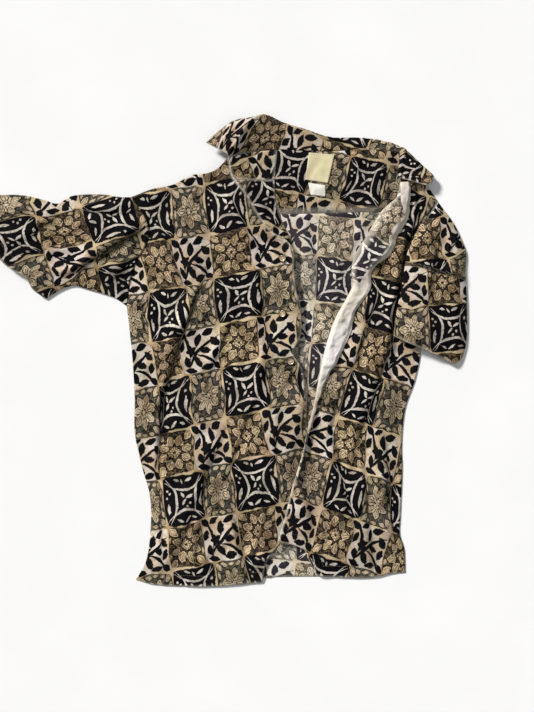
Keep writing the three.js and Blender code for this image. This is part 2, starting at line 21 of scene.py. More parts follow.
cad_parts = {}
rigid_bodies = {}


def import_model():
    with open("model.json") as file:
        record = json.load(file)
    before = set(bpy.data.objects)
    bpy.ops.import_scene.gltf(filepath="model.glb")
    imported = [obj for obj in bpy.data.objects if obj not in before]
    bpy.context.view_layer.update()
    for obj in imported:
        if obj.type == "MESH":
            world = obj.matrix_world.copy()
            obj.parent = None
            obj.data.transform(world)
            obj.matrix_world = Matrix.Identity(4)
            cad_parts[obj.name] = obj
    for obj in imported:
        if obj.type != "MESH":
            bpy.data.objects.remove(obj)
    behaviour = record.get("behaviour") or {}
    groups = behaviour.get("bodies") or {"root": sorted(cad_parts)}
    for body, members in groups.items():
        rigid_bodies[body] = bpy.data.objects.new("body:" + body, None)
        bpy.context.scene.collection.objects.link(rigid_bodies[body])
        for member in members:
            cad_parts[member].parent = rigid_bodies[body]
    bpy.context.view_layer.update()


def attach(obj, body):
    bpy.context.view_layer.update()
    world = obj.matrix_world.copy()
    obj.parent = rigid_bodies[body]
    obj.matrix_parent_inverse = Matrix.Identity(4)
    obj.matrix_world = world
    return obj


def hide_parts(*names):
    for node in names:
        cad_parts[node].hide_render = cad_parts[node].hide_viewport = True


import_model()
MM = 0.001

# %% [markdown]
# ## Camera, floor and light
#
# A garment that is laid out is seen from straight above. The camera's sensor lies along the tall
# side of the frame, and the lens takes in a little more than the shirt. The floor is plain and
# pale. A soft distant lamp stands low at the collar's left, because light that grazes cloth shows
# its creases, and a weak one opposite keeps their dark sides open. The Standard view transform
# keeps the print's black black and its cream light.

# %% Make the camera
VIEW_CENTRE = (88, -8)
VIEW_TALL = 1175
CAMERA_HEIGHT = 1500
SENSOR = 36
scene = bpy.context.scene
scene.view_settings.view_transform = "Standard"

camera_data = bpy.data.cameras.new("camera")
camera_data.sensor_width = SENSOR
camera_data.lens = SENSOR * CAMERA_HEIGHT / VIEW_TALL
camera = bpy.data.objects.new("camera", camera_data)
camera.location = Vector((*VIEW_CENTRE, CAMERA_HEIGHT)) * MM
scene.collection.objects.link(camera)
scene.camera = camera
print("lens:", round(camera_data.lens, 1), "mm")


# %% Make the lamps and the sky
SKY_COLOUR = (0.95, 0.97, 1, 1)
SKY_STRENGTH = 0.20


def add_lamp(name, azimuth, elevation, share, softness, colour):
    """A distant lamp. share is the part of a white floor's brightness that it gives."""
    data = bpy.data.lights.new(name, "SUN")
    data.energy = share * math.pi / math.sin(math.radians(elevation))
    data.angle = math.radians(softness)
    data.color = colour
    lamp = bpy.data.objects.new(name, data)
    lamp.rotation_euler = (math.radians(90 - elevation), 0, math.radians(90 + azimuth))
    scene.collection.objects.link(lamp)


add_lamp("key_lamp", azimuth=138, elevation=31, share=0.76, softness=12, colour=(1, 0.985, 0.96))
add_lamp("fill_lamp", azimuth=-35, elevation=55, share=0.10, softness=60, colour=(0.96, 0.98, 1))
sky = bpy.data.worlds.new("studio_sky")
sky.use_nodes = True
background = sky.node_tree.nodes["Background"].inputs
background["Color"].default_value = SKY_COLOUR
background["Strength"].default_value = SKY_STRENGTH
scene.world = sky

# %% [markdown]
# ## Tables of the pattern pieces
#
# A dressmaker draws a panel by its edges. Each edge here is a short table of points along it, in
# the same places as the solid's edges, and a smooth curve goes through them. A panel is then the
# patch between four such curves, so that its threads follow its edges. A point's columns are x and
# y. On the right front's edge a third one, the lift, says how high the lapel stands there.


# %% Write down the edges
def table(*rows):
    return np.array(rows, float)


SIDE_RIGHT = table(
    (-128, -377), (-111, -345), (-103, -271), (-106, -233), (-116, -198), (-130, -134), (-130, -81),
    (-134, -10), (-143, 74),
)
ARMHOLE_RIGHT = table(
    (-143, 74), (-139, 112), (-128, 147), (-113, 173), (-107, 201), (-118, 229), (-136, 254),
)
SHOULDER_RIGHT = table(
    (-136, 254), (-101, 266), (-67, 273), (-34, 289), (-9, 291), (8, 299), (24, 314),
)
EDGE_RIGHT = table(
    (24, 314, 15), (31, 284, 16), (52, 257, 15), (77, 217, 12), (94, 196, 10), (121, 180, 8),
    (131, 165, 7), (132, 132, 5), (136, 99, 4), (142, 78, 3.5), (143, 26, 3.5), (131, -3, 3),
    (145, -28, 2.5), (151, -62, 1.5), (154, -107, 0.5), (157, -150, 0), (162, -190, 0),
    (156, -232, 0), (139, -279, 0), (110, -316, 0), (88, -345, 0), (80, -381, 0),
)
HEM_RIGHT = table((-128, -377), (-101, -384), (-60, -387), (-7, -388), (35, -385), (80, -381))
HEM_BACK = table(
    (-128, -377), (-101, -384), (-60, -387), (-7, -388), (35, -384), (67, -377), (98, -373),
    (143, -372), (202, -372), (260, -373), (290, -367), (316, -365),
)
SIDE_LEFT = table(
    (316, -365), (314, -325), (307, -302), (308, -271), (311, -191), (310, -157), (316, -94),
    (332, -48), (342, 0), (349, 78),
)
ARMHOLE_LEFT = table((349, 78), (339, 109), (335, 147), (337, 183), (347, 213), (369, 248))
SHOULDER_LEFT = table((303, 325), (328, 305), (347, 279), (369, 248))
NECK_BACK = table(
    (24, 314), (44, 323), (70, 329), (110, 331), (192, 329), (250, 331), (283, 331), (303, 325),
)
EDGE_LEFT = table(
    (105, -314), (116, -277), (130, -221), (138, -196), (148, -163), (155, -127), (165, -89),
    (172, -51), (184, 4), (200, 53), (217, 84), (229, 109), (227, 130), (232, 157), (251, 188),
    (275, 228), (301, 252), (307, 277), (303, 325),
)
HEM_LEFT = table(
    (105, -314), (130, -318), (148, -325), (158, -345), (170, -368), (202, -372), (260, -373),
    (290, -367), (316, -365),
)
YOKE_SEAM = table((-117.4, 228), (-22, 227), (77, 225), (192, 227), (290, 230), (357, 229))
SELVEDGE = table(
    (322, 277), (323, 248), (320, 220), (303, 190), (290, 158), (268, 142), (259, 128), (259, 106),
    (248, 86), (233, 66), (226, 33), (204, -15), (185, -47), (166, -102), (156, -138), (138, -207),
)
SELVEDGE_PRINT_LIMIT = table(
    (307, 277), (307, 246), (314, 223), (306, 213), (292, 200), (294, 191), (292, 181), (286, 169),
    (275, 155), (267, 144), (257, 135), (248, 126), (241, 113),
)
BARE_BELOW = 113
FACING_RIGHT_NECK = table((24, 314), (44, 321), (70, 327), (105, 330))
FACING_RIGHT_INNER = table((105, 330), (101, 282), (102, 249), (107, 229), (116, 206), (128, 184))
OVERARM_RIGHT = table(
    (-136, 254), (-155, 254), (-182, 258), (-210, 258), (-235, 255), (-257, 243), (-276, 248),
    (-316, 257), (-389, 254), (-420, 249),
)
UNDERARM_RIGHT = table(
    (-143, 74), (-163, 88), (-186, 96), (-210, 103), (-229, 108), (-248, 103), (-276, 86),
)
CUFF_RIGHT = table(
    (-420, 249), (-402, 221), (-379, 186), (-352, 152), (-336, 137), (-308, 121), (-296, 101),
    (-276, 86),
)
OUTER_FOLD_LEFT = table(
    (371, 245), (395, 211), (408, 184), (416, 162), (415, 134), (418, 60), (416, 12), (410, -11),
)
INNER_FOLD_LEFT = table(
    (341, 209), (327, 183), (318, 160), (312, 125), (306, 92), (299, 55), (296, 25),
)
ARMHOLE_TOP_LEFT = table((371, 245), (359, 228), (350, 216), (341, 209))
CUFF_LEFT = table((410, -11), (397, -21), (380, -14), (342, 4), (318, 14), (296, 25))
LIFT = 2
print("edges of the left front:", len(EDGE_LEFT), "points down to y", EDGE_LEFT[:, 1].min())

# %% [markdown]
# ## Smooth edges and patches
#
# A centripetal Catmull-Rom curve passes through its points with no loops between them, so it suits
# a drawn outline. The patch between four curves is a Coons patch: it blends each pair of
# opposite edges and takes away what the corners would add twice.


# %% Make curves and patches
def through(points, per_span=16):
    """Dense points of a centripetal Catmull-Rom curve."""
    points = np.vstack([2 * points[0] - points[1], points, 2 * points[-1] - points[-2]])
    dense = []
    for a, b, c, d in zip(points, points[1:], points[2:], points[3:]):
        steps = [np.linalg.norm(q - p) ** 0.5 for p, q in ((a, b), (b, c), (c, d))]
        k0, k1, k2, k3 = np.cumsum([0, *steps])
        t = np.linspace(k1, k2, per_span, endpoint=False)[:, None]

        def blend(p, q, start, stop):
            return p * (stop - t) / (stop - start) + q * (t - start) / (stop - start)

        bc = blend(b, c, k1, k2)
        abc = blend(blend(a, b, k0, k1), bc, k0, k2)
        bcd = blend(bc, blend(c, d, k2, k3), k1, k3)
        dense.append(blend(abc, bcd, k1, k2))
    return np.vstack([*dense, points[-2]])


def lengths_of(line):
    """The length of a line from its start to each of its points."""
    return np.concatenate([[0], np.cumsum(np.linalg.norm(np.diff(line, axis=0), axis=1))])


def sample(line, lengths, place):
    return np.column_stack([np.interp(place, lengths, axis) for axis in line.T])


def edge(*parts):
    """A curve from 0 to 1 by length; a corner stays where two parts meet."""
    dense = np.vstack([through(np.array(part, float)[:, :2]) for part in parts])
    lengths = lengths_of(dense)

    def at(t):
        return sample(dense, lengths, np.clip(t, 0, 1) * lengths[-1])

    at.length = lengths[-1]
    return at


def patch(bottom, top, left, right):
    """A function of u and v, each from 0 to 1, to points between four edges."""
    corners = [bottom(np.zeros(1)), bottom(np.ones(1)), top(np.zeros(1)), top(np.ones(1))]

    def at(u, v):
        a, b = u[:, None], v[:, None]
        ruled = bottom(u) * (1 - b) + top(u) * b + left(v) * (1 - a) + right(v) * a
        low = corners[0] * (1 - a) + corners[1] * a
        high = corners[2] * (1 - a) + corners[3] * a
        return ruled - low * (1 - b) - high * b

    at.width = (bottom.length + top.length) / 2
    at.height = (left.length + right.length) / 2
    return at


def at_y(rows, y, column=0):
    """A column's value where the edge passes a given y."""
    rows = rows[np.argsort(rows[:, 1])]
    return np.interp(y, rows[:, 1], rows[:, column])


def smooth(t):
    t = np.clip(t, 0, 1)
    return t * t * (3 - 2 * t)


print("front edge of the right half:", round(edge(EDGE_RIGHT).length), "mm long")

# %% [markdown]
# ## Creases
#
# Cotton that has been worn and thrown down has three sizes of crease. A few large folds run where
# the cloth was pulled, and each has a gentle side and a steep side, because the cloth leans over.
# Between them lie smaller ridges, and the whole is finely crumpled. The large folds are rows in a
# table. The crumple is ridged noise: the crests are where smooth noise passes
# zero, so they run as thin branching lines, as crumpled cloth does.

# %% Make folds
STEEP_SIDE = 0.34
FOOT = 0.42
TUCK_RUN = 5.0
SHADE_WIDTH = 2.6
FULL_SHADE_TUCK = 12


def across_and_ends(fold, x, y):
    x1, y1, x2, y2, width = fold[:5]
    dx, dy = x2 - x1, y2 - y1
    along = ((x - x1) * dx + (y - y1) * dy) / (dx * dx + dy * dy)
    across = ((x - x1) * dy - (y - y1) * dx) / math.hypot(dx, dy) / width
    ends = smooth((along + 0.2) / 0.4) * smooth((1.2 - along) / 0.4)
    return across, ends


def fold_height(folds, x, y):
    height = np.zeros_like(x)
    for fold in folds:
        across, ends = across_and_ends(fold, x, y)
        lean = np.where(across > 0, across / STEEP_SIDE, across)
        height += fold[5] * ends * np.exp(-lean * lean)
    return height


def tucked(folds, x, y):
    """Where the print of a point lies, once each fold has taken up the cloth of its tuck."""
    shift_x, shift_y = np.zeros_like(x), np.zeros_like(y)
    for fold in folds:
        across, ends = across_and_ends(fold, x, y)
        x1, y1, x2, y2 = fold[:4]
        length = math.hypot(x2 - x1, y2 - y1)
        from_foot = (across - FOOT) * fold[4]
        left_share = fold[7] if len(fold) > 7 else 0.5
        taken = fold[6] * ends * (smooth(from_foot / TUCK_RUN + 0.5) - left_share)
        shift_x += taken * (y2 - y1) / length
        shift_y -= taken * (x2 - x1) / length
    return x + shift_x, y + shift_y


def foot_shade(folds, x, y):
    """1 at the foot of a deep fold, where little light gets in, and 0 away from it."""
    shade = np.zeros_like(x)
    for fold in folds:
        across, ends = across_and_ends(fold, x, y)
        from_foot = (across - FOOT) * fold[4] / SHADE_WIDTH
        depth = min(fold[6] / FULL_SHADE_TUCK, 1)
        shade = np.maximum(shade, depth * ends * np.exp(-from_foot * from_foot))
    return shade


upright_fold = (0, -50, 0, 50, 10, 5, 8)
print("a fold 5 high at its crest:", fold_height([upright_fold], np.zeros(1), np.zeros(1)), "mm")

# %% Make the crumple
RIDGES = ((78, 4.2, 2), (42, 2.4, 3), (21, 1.1, 4))
LATTICE = 64


def noise(x, y, seed):
    """Smooth noise, about -0.7 to 0.7, with features one unit across."""
    angle = np.random.default_rng(seed).uniform(0, 2 * math.pi, (LATTICE, LATTICE))
    ix, iy = np.floor(x).astype(int), np.floor(y).astype(int)
    fx, fy = x - ix, y - iy

    def corner(i, j):
        turn = angle[(ix + i) % LATTICE, (iy + j) % LATTICE]
        return np.cos(turn) * (fx - i) + np.sin(turn) * (fy - j)

    wx, wy = smooth(fx), smooth(fy)
    low = corner(0, 0) * (1 - wx) + corner(1, 0) * wx
    high = corner(0, 1) * (1 - wx) + corner(1, 1) * wx
    return low * (1 - wy) + high * wy


def crumple(x, y, seed, grain=70):
    """Ridges of worn cloth, 0 to about 7 mm high, which mostly run at grain degrees.

    A row of RIDGES is their spacing, their height and the number of their noise.
    """
    turn = math.radians(grain)
    along = x * math.cos(turn) + y * math.sin(turn)
    across = y * math.cos(turn) - x * math.sin(turn)
    bend = 14 * noise(along / 60, across / 60, seed + 1)
    total = np.zeros_like(x)
    for size, height, number in RIDGES:
        ridge = 1 - np.abs(noise(along / size / 1.7, (across + bend) / size, seed + number)) * 2.2
        total += height * smooth(ridge) ** 2
    return total


print("crumple at the origin:", crumple(np.zeros(1), np.zeros(1), 5).round(2), "mm")

# %% [markdown]
# ## The large folds
#
# Each row is a fold from one point to another, with its half width, its height and the cloth that
# it takes up. Going from the first point to the second, the steep side is on the right. The
# taken-up cloth is hidden in the fold, so the print jumps at its foot. The gap there is thinner
# than the grid, so the shade in it is painted: a value on the points, which the material reads.
# Both sides of a fold give half of the tuck, unless an eighth value says the left side's share.

# %% Write down the folds
BACK_FOLDS = [
    (168, 85, 150, 215, 16, 2.5, 6), (205, 120, 196, 205, 15, 2, 5), (214, 262, 244, 318, 9, 3, 5),
    (276, 318, 258, 250, 10, 3.6, 6), (120, 246, 138, 296, 9, 2.4, 4),
]
FRONT_RIGHT_FOLDS = [
    (-62, 12, -24, 118, 17, 7, 16), (-96, -96, -62, 22, 19, 7.5, 20),
    (-102, -200, -88, -80, 17, 6, 14), (-52, 92, -100, 210, 22, 5, 8),
    (-70, -330, 8, -130, 24, 6, 8), (-92, -350, -96, -230, 17, 4.5, 8),
    (84, -60, 66, 150, 24, 3.5, 4), (64, 170, 20, 250, 20, 5, 8), (46, -370, 20, -250, 20, 4.5, 6),
    (-120, 60, -40, 26, 9, 3.4, 4), (-118, 20, -52, -22, 8, 3, 3), (-6, 120, -60, 200, 9, 2.6, 2),
    (-18, -60, 30, 60, 10, 2.6, 3), (20, -200, 64, -80, 10, 3.2, 4),
    (96, -180, 110, -40, 9, 2.4, 3), (-34, -340, -20, -230, 9, 3, 3),
    (60, -350, 84, -260, 10, 2.6, 3),
]
FRONT_LEFT_FOLDS = [
    (286, 10, 305, 130, 11, 6.5, 12), (302, 120, 330, 222, 10, 6.5, 12),
    (222, -30, 262, 96, 20, 6, 10), (226, -150, 286, 20, 22, 7, 14),
    (222, -290, 190, -150, 20, 6, 8), (158, -305, 140, -205, 18, 5, 6),
    (290, -320, 276, -150, 17, 5, 10), (254, -360, 240, -200, 20, 4.5, 6),
    (250, -110, 290, -40, 9, 3.2, 3), (184, -140, 206, -60, 9, 3, 3),
    (270, -260, 296, -190, 8, 2.8, 3), (196, -340, 214, -250, 9, 2.8, 3),
]
SLEEVE_RIGHT_FOLDS = [
    (-236, 132, -112, 210, 15, 7, 22), (-218, 236, -150, 230, 14, 4, 6),
    (-330, 176, -262, 226, 22, 4, 6), (-372, 216, -300, 236, 18, 2.5, 3),
    (-178, 112, -140, 150, 15, 3, 8), (-250, 190, -196, 214, 8, 2.2, 3),
    (-290, 150, -246, 126, 8, 2, 3),
]
SLEEVE_LEFT_FOLDS = [
    (190, 180, 424, 120, 9, 4.5, 78, 1), (360, 150, 346, 214, 15, 4, 8),
    (344, 70, 360, 168, 18, 4.5, 8), (398, 30, 392, 150, 18, 3, 4), (352, 60, 328, 120, 8, 2.2, 3),
    (372, 150, 404, 190, 8, 2.2, 3),
]
print("folds on the fronts:", len(FRONT_RIGHT_FOLDS), "and", len(FRONT_LEFT_FOLDS))

# %% [markdown]
# ## How the layers lie on each other
#
# Each layer's height is a plain function of its place. It starts from the top of the layer below
# and adds its own rise, which is never less than nothing, so no crease can cut through a
# neighbour. The fronts come down to the back at the side seams and the hem. The collar's fall lies
# under the yoke, which lifts it.

# %% Work out the heights
CLOTH = 0.55
FRONT_GAP = 0.5
FRONT_RISE = 1.8
EDGE_FALL = 42
FLOOR_GAP = 0.1
SLEEVE_MARGIN = 2
GORGE_SEAM = 280
OVER_COLLAR = 2.3
HEM_RIGHT_Y, HEM_LEFT_Y = -388, -373
LAPEL_ROLL = 34
LAP_MARGIN, LAP_FADE = 26, 24


def back_bottom(x, y):
    over_fall = smooth((y - 250) / 20) * smooth((x - 70) / 40)
    from_right = smooth((x - at_y(EDGE_RIGHT, y) - 2) / 14)
    from_left = smooth((at_y(EDGE_LEFT, y) - 4 - x) / 14)
    creases = fold_height(BACK_FOLDS, x, y) + 0.55 * crumple(x, y, 11)
    return FLOOR_GAP + OVER_COLLAR * over_fall + from_right * from_left * creases


def on_back(x, y):
    return back_bottom(x, y) + CLOTH + FRONT_GAP


def side_fall(x, y, side, armhole, sign):
    """0 at the side seam and 1 from EDGE_FALL inwards."""
    outer = np.where(y < side[:, 1].max(), at_y(side, y), at_y(armhole, y))
    return smooth(sign * (x - outer) / EDGE_FALL)


def front_right_bottom(x, y):
    inner = at_y(EDGE_RIGHT, y) - x
    side = side_fall(x, y, SIDE_RIGHT, ARMHOLE_RIGHT, 1)
    hem = smooth((y - HEM_RIGHT_Y) / EDGE_FALL)
    covered = smooth((x - at_y(EDGE_LEFT, y) + LAP_MARGIN) / LAP_FADE)
    lift = at_y(EDGE_RIGHT, y, LIFT) * np.exp(-((inner / LAPEL_ROLL) ** 2))
    rise = 0.5 * FRONT_RISE + fold_height(FRONT_RIGHT_FOLDS, x, y) + crumple(x, y, 21, 62)
    return on_back(x, y) + (rise * side * (0.25 + 0.75 * hem) + lift) * (1 - covered)


def front_left_bottom(x, y):
    side = side_fall(x, y, SIDE_LEFT, ARMHOLE_LEFT, -1)
    hem = np.maximum(smooth((y - HEM_LEFT_Y) / EDGE_FALL), 0.25)
    shoulder = smooth((300 - y) / 40)
    beside_sleeve = at_y(INNER_FOLD_LEFT, y) - SLEEVE_MARGIN - x
    clear = np.clip(smooth(beside_sleeve / 10) + smooth((-30 - y) / 24), 0, 1)
    creases = (fold_height(FRONT_LEFT_FOLDS, x, y) + crumple(x, y, 31, 105)) * clear
    over_right = 2.4 * smooth((205 - x) / 32) * smooth((-92 - y) / 22)
    return on_back(x, y) + (0.5 * FRONT_RISE + creases) * side * shoulder * hem + over_right


def facing_right_bottom(x, y):
    crest_x = at_y(EDGE_RIGHT, y)
    crest = front_right_bottom(crest_x, y)
    t = np.clip((x - crest_x) / (at_y(FACING_RIGHT_INNER, y) - crest_x), 0, 1)
    low = on_back(x, y)
    own = 0.5 * crumple(x, y, 41, 80) * smooth(t * 4) * smooth((1 - t) * 4)
    collar_end = 1.1 * smooth((y - GORGE_SEAM) / 2) * smooth(t * 9) * smooth((1 - t) * 9)
    return low + (crest - low) * (1 - t) ** 1.6 + own + collar_end


edge_height = front_right_bottom(np.array([77.0]), np.array([217.0]))
print("right front's edge at y 217:", edge_height.round(1), "mm up")

# %% [markdown]
# ## A cloth panel from a grid
#
# `bmesh.ops.create_grid` makes a flat square of faces. Its points are then moved to the patch and
# its height, and its UV map says where each thread of the print lies, in metres. A Solidify
# modifier gives the wall. A tube is the same grid with its first and last column merged.


# %% Make panels
def cloth(name, grid, place, materials, thickness=CLOTH, offset=1.0, closed=False):
    """place(u, v) gives points in mm, print coordinates in mm and a dict of point values."""
    bm = bmesh.new()
    bmesh.ops.create_grid(bm, x_segments=grid[0], y_segments=grid[1], size=0.5)
    bm.verts.ensure_lookup_table()
    square = np.array([vert.co[:2] for vert in bm.verts]) + 0.5
    points, print_place, values = place(square[:, 0], square[:, 1])
    uv_layer = bm.loops.layers.uv.new("print")
    uvs = (print_place * MM).tolist()
    for face in bm.faces:
        for loop in face.loops:
            loop[uv_layer].uv = uvs[loop.vert.index]
    for key, column in values.items():
        layer = bm.verts.layers.float.new(key)
        for vert, value in zip(bm.verts, column.tolist()):
            vert[layer] = value
    for vert, point in zip(bm.verts, (points * MM).tolist()):
        vert.co = point
    if closed:
        bmesh.ops.remove_doubles(bm, verts=bm.verts, dist=1e-6)
        bmesh.ops.recalc_face_normals(bm, faces=bm.faces)
    elif sum(face.normal.z * face.calc_area() for face in bm.faces) < 0:
        bmesh.ops.reverse_faces(bm, faces=bm.faces)
    piece = mesh_piece(name, bm, materials, shade_smooth=True)
    wall = piece.modifiers.new("wall", "SOLIDIFY")
    wall.thickness = thickness * MM
    wall.offset = offset
    wall.material_offset = len(materials) - 1
    return piece


def mesh_piece(name, bm, materials, shade_smooth=False):
    for face in bm.faces:
        face.smooth = shade_smooth
    mesh = bpy.data.meshes.new(name)
    bm.to_mesh(mesh)
    bm.free()
    piece = bpy.data.objects.new(name, mesh)
    scene.collection.objects.link(piece)
    for material in materials:
        mesh.materials.append(material)
    return piece


def sheet(node, slot, flat, rests_on, grid, place, materials, **wall):
    """The cloth that takes the place of a solid. flat, the size of its cut in metres, is not used.
    """
    piece = cloth(node + "_cloth", grid, place, materials, **wall)
    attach(piece, "root")
    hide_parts(node)
    return piece


# %% [markdown]
# ## Where the print lies
#
# The cloth is printed in squares before it is cut, so on each panel the squares run with its
# threads, and a panel that lies askew carries them askew. A row gives the middle of one black
# square on the panel and the steps from it to the next one across and up, in millimetres. One
# repeat is two squares by two, and the black one takes more than half of its row and column.

# %% Lay the print on a panel
COLUMN = 65.5
ROW = 74.5
BLACK_WIDE = 0.57
BLACK_TALL = 0.53


class Print:
    """Turns a place on a laid panel to its place on the bolt."""

    def __init__(self, origin, across, up, folds=()):
        self.origin = np.array(origin, float)
        self.turn = np.linalg.inv(np.array([across, up], float).T)
        self.folds = folds

    def __call__(self, x, y):
        x, y = tucked(self.folds, x, y)
        steps = (np.column_stack([x, y]) - self.origin) @ self.turn.T
        return (steps + (BLACK_WIDE / 2, BLACK_TALL / 2)) * (2 * COLUMN, 2 * ROW)


PRINT_FRONT_RIGHT = Print((48.7, 94), (128.7, 23.1), (-18.1, 153.4), FRONT_RIGHT_FOLDS)
PRINT_FRONT_LEFT = Print((250, -72.6), (125, -38), (33, 151.8), FRONT_LEFT_FOLDS)
PRINT_SLEEVE_RIGHT = Print((-319, 178), (38, -125), (151.8, 46.2), SLEEVE_RIGHT_FOLDS)
PRINT_SLEEVE_LEFT = Print((393.5, 43), (131, 10), (-14, 148), SLEEVE_LEFT_FOLDS)
PRINT_YOKE = Print((128, 307), (127, -25), (28, 148), BACK_FOLDS)
PRINT_COLLAR = Print((66, -50), (124, -40), (45, 141))
PRINT_BACK = Print((208.7, 120), (127, -15), (10, 143), BACK_FOLDS)
PRINT_FACING_RIGHT = Print((96, 254), (118, -52), (60, 136))
PRINT_COLLAR_END = Print((20, 346), (112, 58), (-56, 138))
PRINT_FACING_LEFT = Print((262, 150), (118, -62), (66, 135))
print("print at the right front's origin:", PRINT_FRONT_RIGHT(np.zeros(1), np.zeros(1)).round(1))

# %% [markdown]
# ## Printed cotton
#
# The print imitates bark cloth: squares of black, olive, brown and cream with sand-coloured lines
# between them, each with leaves or a flower of its own. It could be painted as an image, but nodes
# stay sharp from any distance and need no file. Every material here is built with one small
# function that adds a node. An input is a number, an sRGB hex colour or another node's output.
# A Map Range node's numbered inputs are the value, the two ends of its range and the two ends that
# they turn to, which are 0 and 1 unless given.

# %% Make colours and nodes
MATH = "ShaderNodeMath"
VECTOR = "ShaderNodeVectorMath"
RANGE = "ShaderNodeMapRange"
NOISE = "ShaderNodeTexNoise"
SPLIT = "ShaderNodeSeparateXYZ"
ATTRIBUTE = "ShaderNodeAttribute"
BUMP = "ShaderNodeBump"
MIX = "ShaderNodeMix"
FACTOR, FIRST, SECOND, MIXED = 0, 6, 7, 2
SOFT = "SMOOTHSTEP"


def linear(colour):
    """An sRGB hex value as linear RGBA."""
    parts = [int(colour[i:i + 2], 16) / 255 for i in (1, 3, 5)]
    return (*(c / 12.92 if c <= 0.04045 else ((c + 0.055) / 1.055) ** 2.4 for c in parts), 1)


def add(tree, kind, inputs, out=0, **settings):
    """Adds a node with its settings and links, and returns one of its outputs."""
    node = tree.nodes.new(kind)
    for key, value in settings.items():
        setattr(node, key, value)
    for socket, value in inputs.items():
        if isinstance(value, bpy.types.NodeSocket):
            tree.links.new(value, node.inputs[socket])
        else:
            node.inputs[socket].default_value = linear(value) if isinstance(value, str) else value
    return node.outputs[out]


print("cream in linear light:", [round(c, 3) for c in linear("#d8cbb6")])

# %% [markdown]
# ### The marks of each square
#
# The print is drawn with one kind of mark, a brush stroke: a lens with pointed ends that may be
# bent. A Mapping node moves a point into the stroke's own space, where x runs from -1 to 1 along
# it, and the point is inside while x squared plus |y| is under 1. Leaves around a flower are the
# same mark, repeated by angle.
#
# A stroke's row is its middle, its angle in degrees, its half length, its half width and how far
# its ends bend to one side. A row under `fours` is drawn in all four quarters, and its middle
# counts from the square's own. A ring's row is its middle, the number of leaves, the radius of
# their middles, their half length and half width, and a turn in parts of one leaf. Under `cuts`
# are rings of thin marks in the ground's dark shade, such as seeds. All but the third value of a
# row, the angle or the number, are in thousandths of a square.

# %% Chart the squares
SQUARES = {
    "black": {
        "strokes": [
            (500, 700, 0, 470, 26, -230), (500, 300, 180, 470, 26, -230),
            (300, 500, 90, 470, 26, -230), (700, 500, 270, 470, 26, -230),
            (440, 590, 118, 80, 28, 0), (580, 560, 28, 90, 30, 0), (460, 450, 230, 70, 24, 0),
            (590, 420, 0, 24, 26, 0), (530, 360, 0, 22, 24, 0), (360, 910, 160, 70, 24, 0),
            (480, 870, 100, 50, 20, 0), (630, 900, 20, 95, 28, 0), (900, 440, 95, 170, 34, 0),
            (890, 700, 60, 40, 26, 0), (110, 350, 80, 130, 34, 0), (100, 580, 20, 24, 26, 0),
            (150, 660, 70, 26, 28, 0), (90, 720, 40, 24, 26, 0), (320, 110, 150, 70, 24, 0),
            (490, 120, 35, 95, 28, 0), (700, 110, 168, 80, 24, 0),
        ],
        "fours": [],
        "rings": [],
        "cuts": [],
    },
    "olive": {
        "strokes": [
            (90, 500, 88, 90, 36, 0), (910, 470, 94, 90, 36, 0), (500, 930, 4, 95, 34, 0),
            (500, 70, -5, 95, 34, 0),
        ],
        "fours": [
            (380, 380, 44, 125, 66, 0), (420, 210, 74, 90, 40, 0), (220, 420, 14, 90, 40, 0),
        ],
        "rings": [
            (500, 510, 7, 215, 150, 100, 100), (500, 510, 5, 30, 38, 30, 0),
        ],
        "cuts": [
            (500, 510, 21, 180, 110, 7, 300),
        ],
    },
    "brown": {
        "strokes": [
            (500, 500, 0, 150, 120, 0), (500, 500, 90, 150, 120, 0),
        ],
        "fours": [
            (370, 380, 40, 135, 84, 0), (440, 200, 80, 70, 34, 0),
        ],
        "rings": [
            (500, 500, 8, 300, 130, 104, 100),
        ],
        "cuts": [
            (500, 500, 12, 115, 42, 11, 0), (500, 500, 24, 300, 100, 8, 300),
            (500, 500, 5, 25, 30, 14, 200),
        ],
    },
    "cream": {
        "strokes": [
            (500, 500, 40, 600, 44, 110), (240, 640, 100, 380, 40, -80),
            (730, 270, -38, 340, 40, 90), (470, 740, 80, 167, 90, 0), (700, 900, 18, 167, 84, 0),
            (880, 660, -48, 157, 86, 0), (660, 480, -14, 157, 84, 0), (430, 240, -62, 173, 90, 0),
            (150, 270, 98, 140, 81, 0), (80, 620, 62, 140, 77, 0), (100, 900, 142, 140, 86, 0),
            (330, 940, 30, 140, 72, 0), (900, 380, 66, 140, 77, 0), (640, 100, 10, 173, 77, 0),
            (920, 80, -34, 140, 81, 0), (200, 60, -14, 162, 67, 0),
        ],
        "fours": [],
        "rings": [
            (310, 490, 5, 70, 80, 60, 0),
        ],
        "cuts": [],
    },
}
print("marks:", {name: sum(len(rows) for rows in s.values()) for name, s in SQUARES.items()})

# %% [markdown]
# ### Strokes and rings
#
# Each function below gives a value that is under 1 inside its marks. The lesser of two such
# values is under 1 inside either mark, so a chain of Minimum nodes joins all the marks of a square.

# %% Draw strokes and rings with nodes
MIDDLE = (0.5, 0.5, 0)


def in_squares(row):
    return [value if column == 2 else value / 1000 for column, value in enumerate(row)]


def stroke(tree, place, row):
    x, y, angle, half_length, half_width, sag = in_squares(row)
    turn = (0, 0, math.radians(angle))
    own = add(
        tree, "ShaderNodeMapping",
        {0: place, 1: (x, y, 0), 2: turn, 3: (half_length, half_width, 1)}, vector_type="TEXTURE",
    )
    along = add(tree, SPLIT, {0: own})
    across = along.node.outputs[1]
    squared = add(tree, MATH, {0: along, 1: along}, operation="MULTIPLY")
    if sag:
        bend = {0: squared, 1: sag / half_width, 2: across}
        across = add(tree, MATH, bend, operation="MULTIPLY_ADD")
    across = add(tree, MATH, {0: across}, operation="ABSOLUTE")
    return add(tree, MATH, {0: squared, 1: across}, operation="ADD")


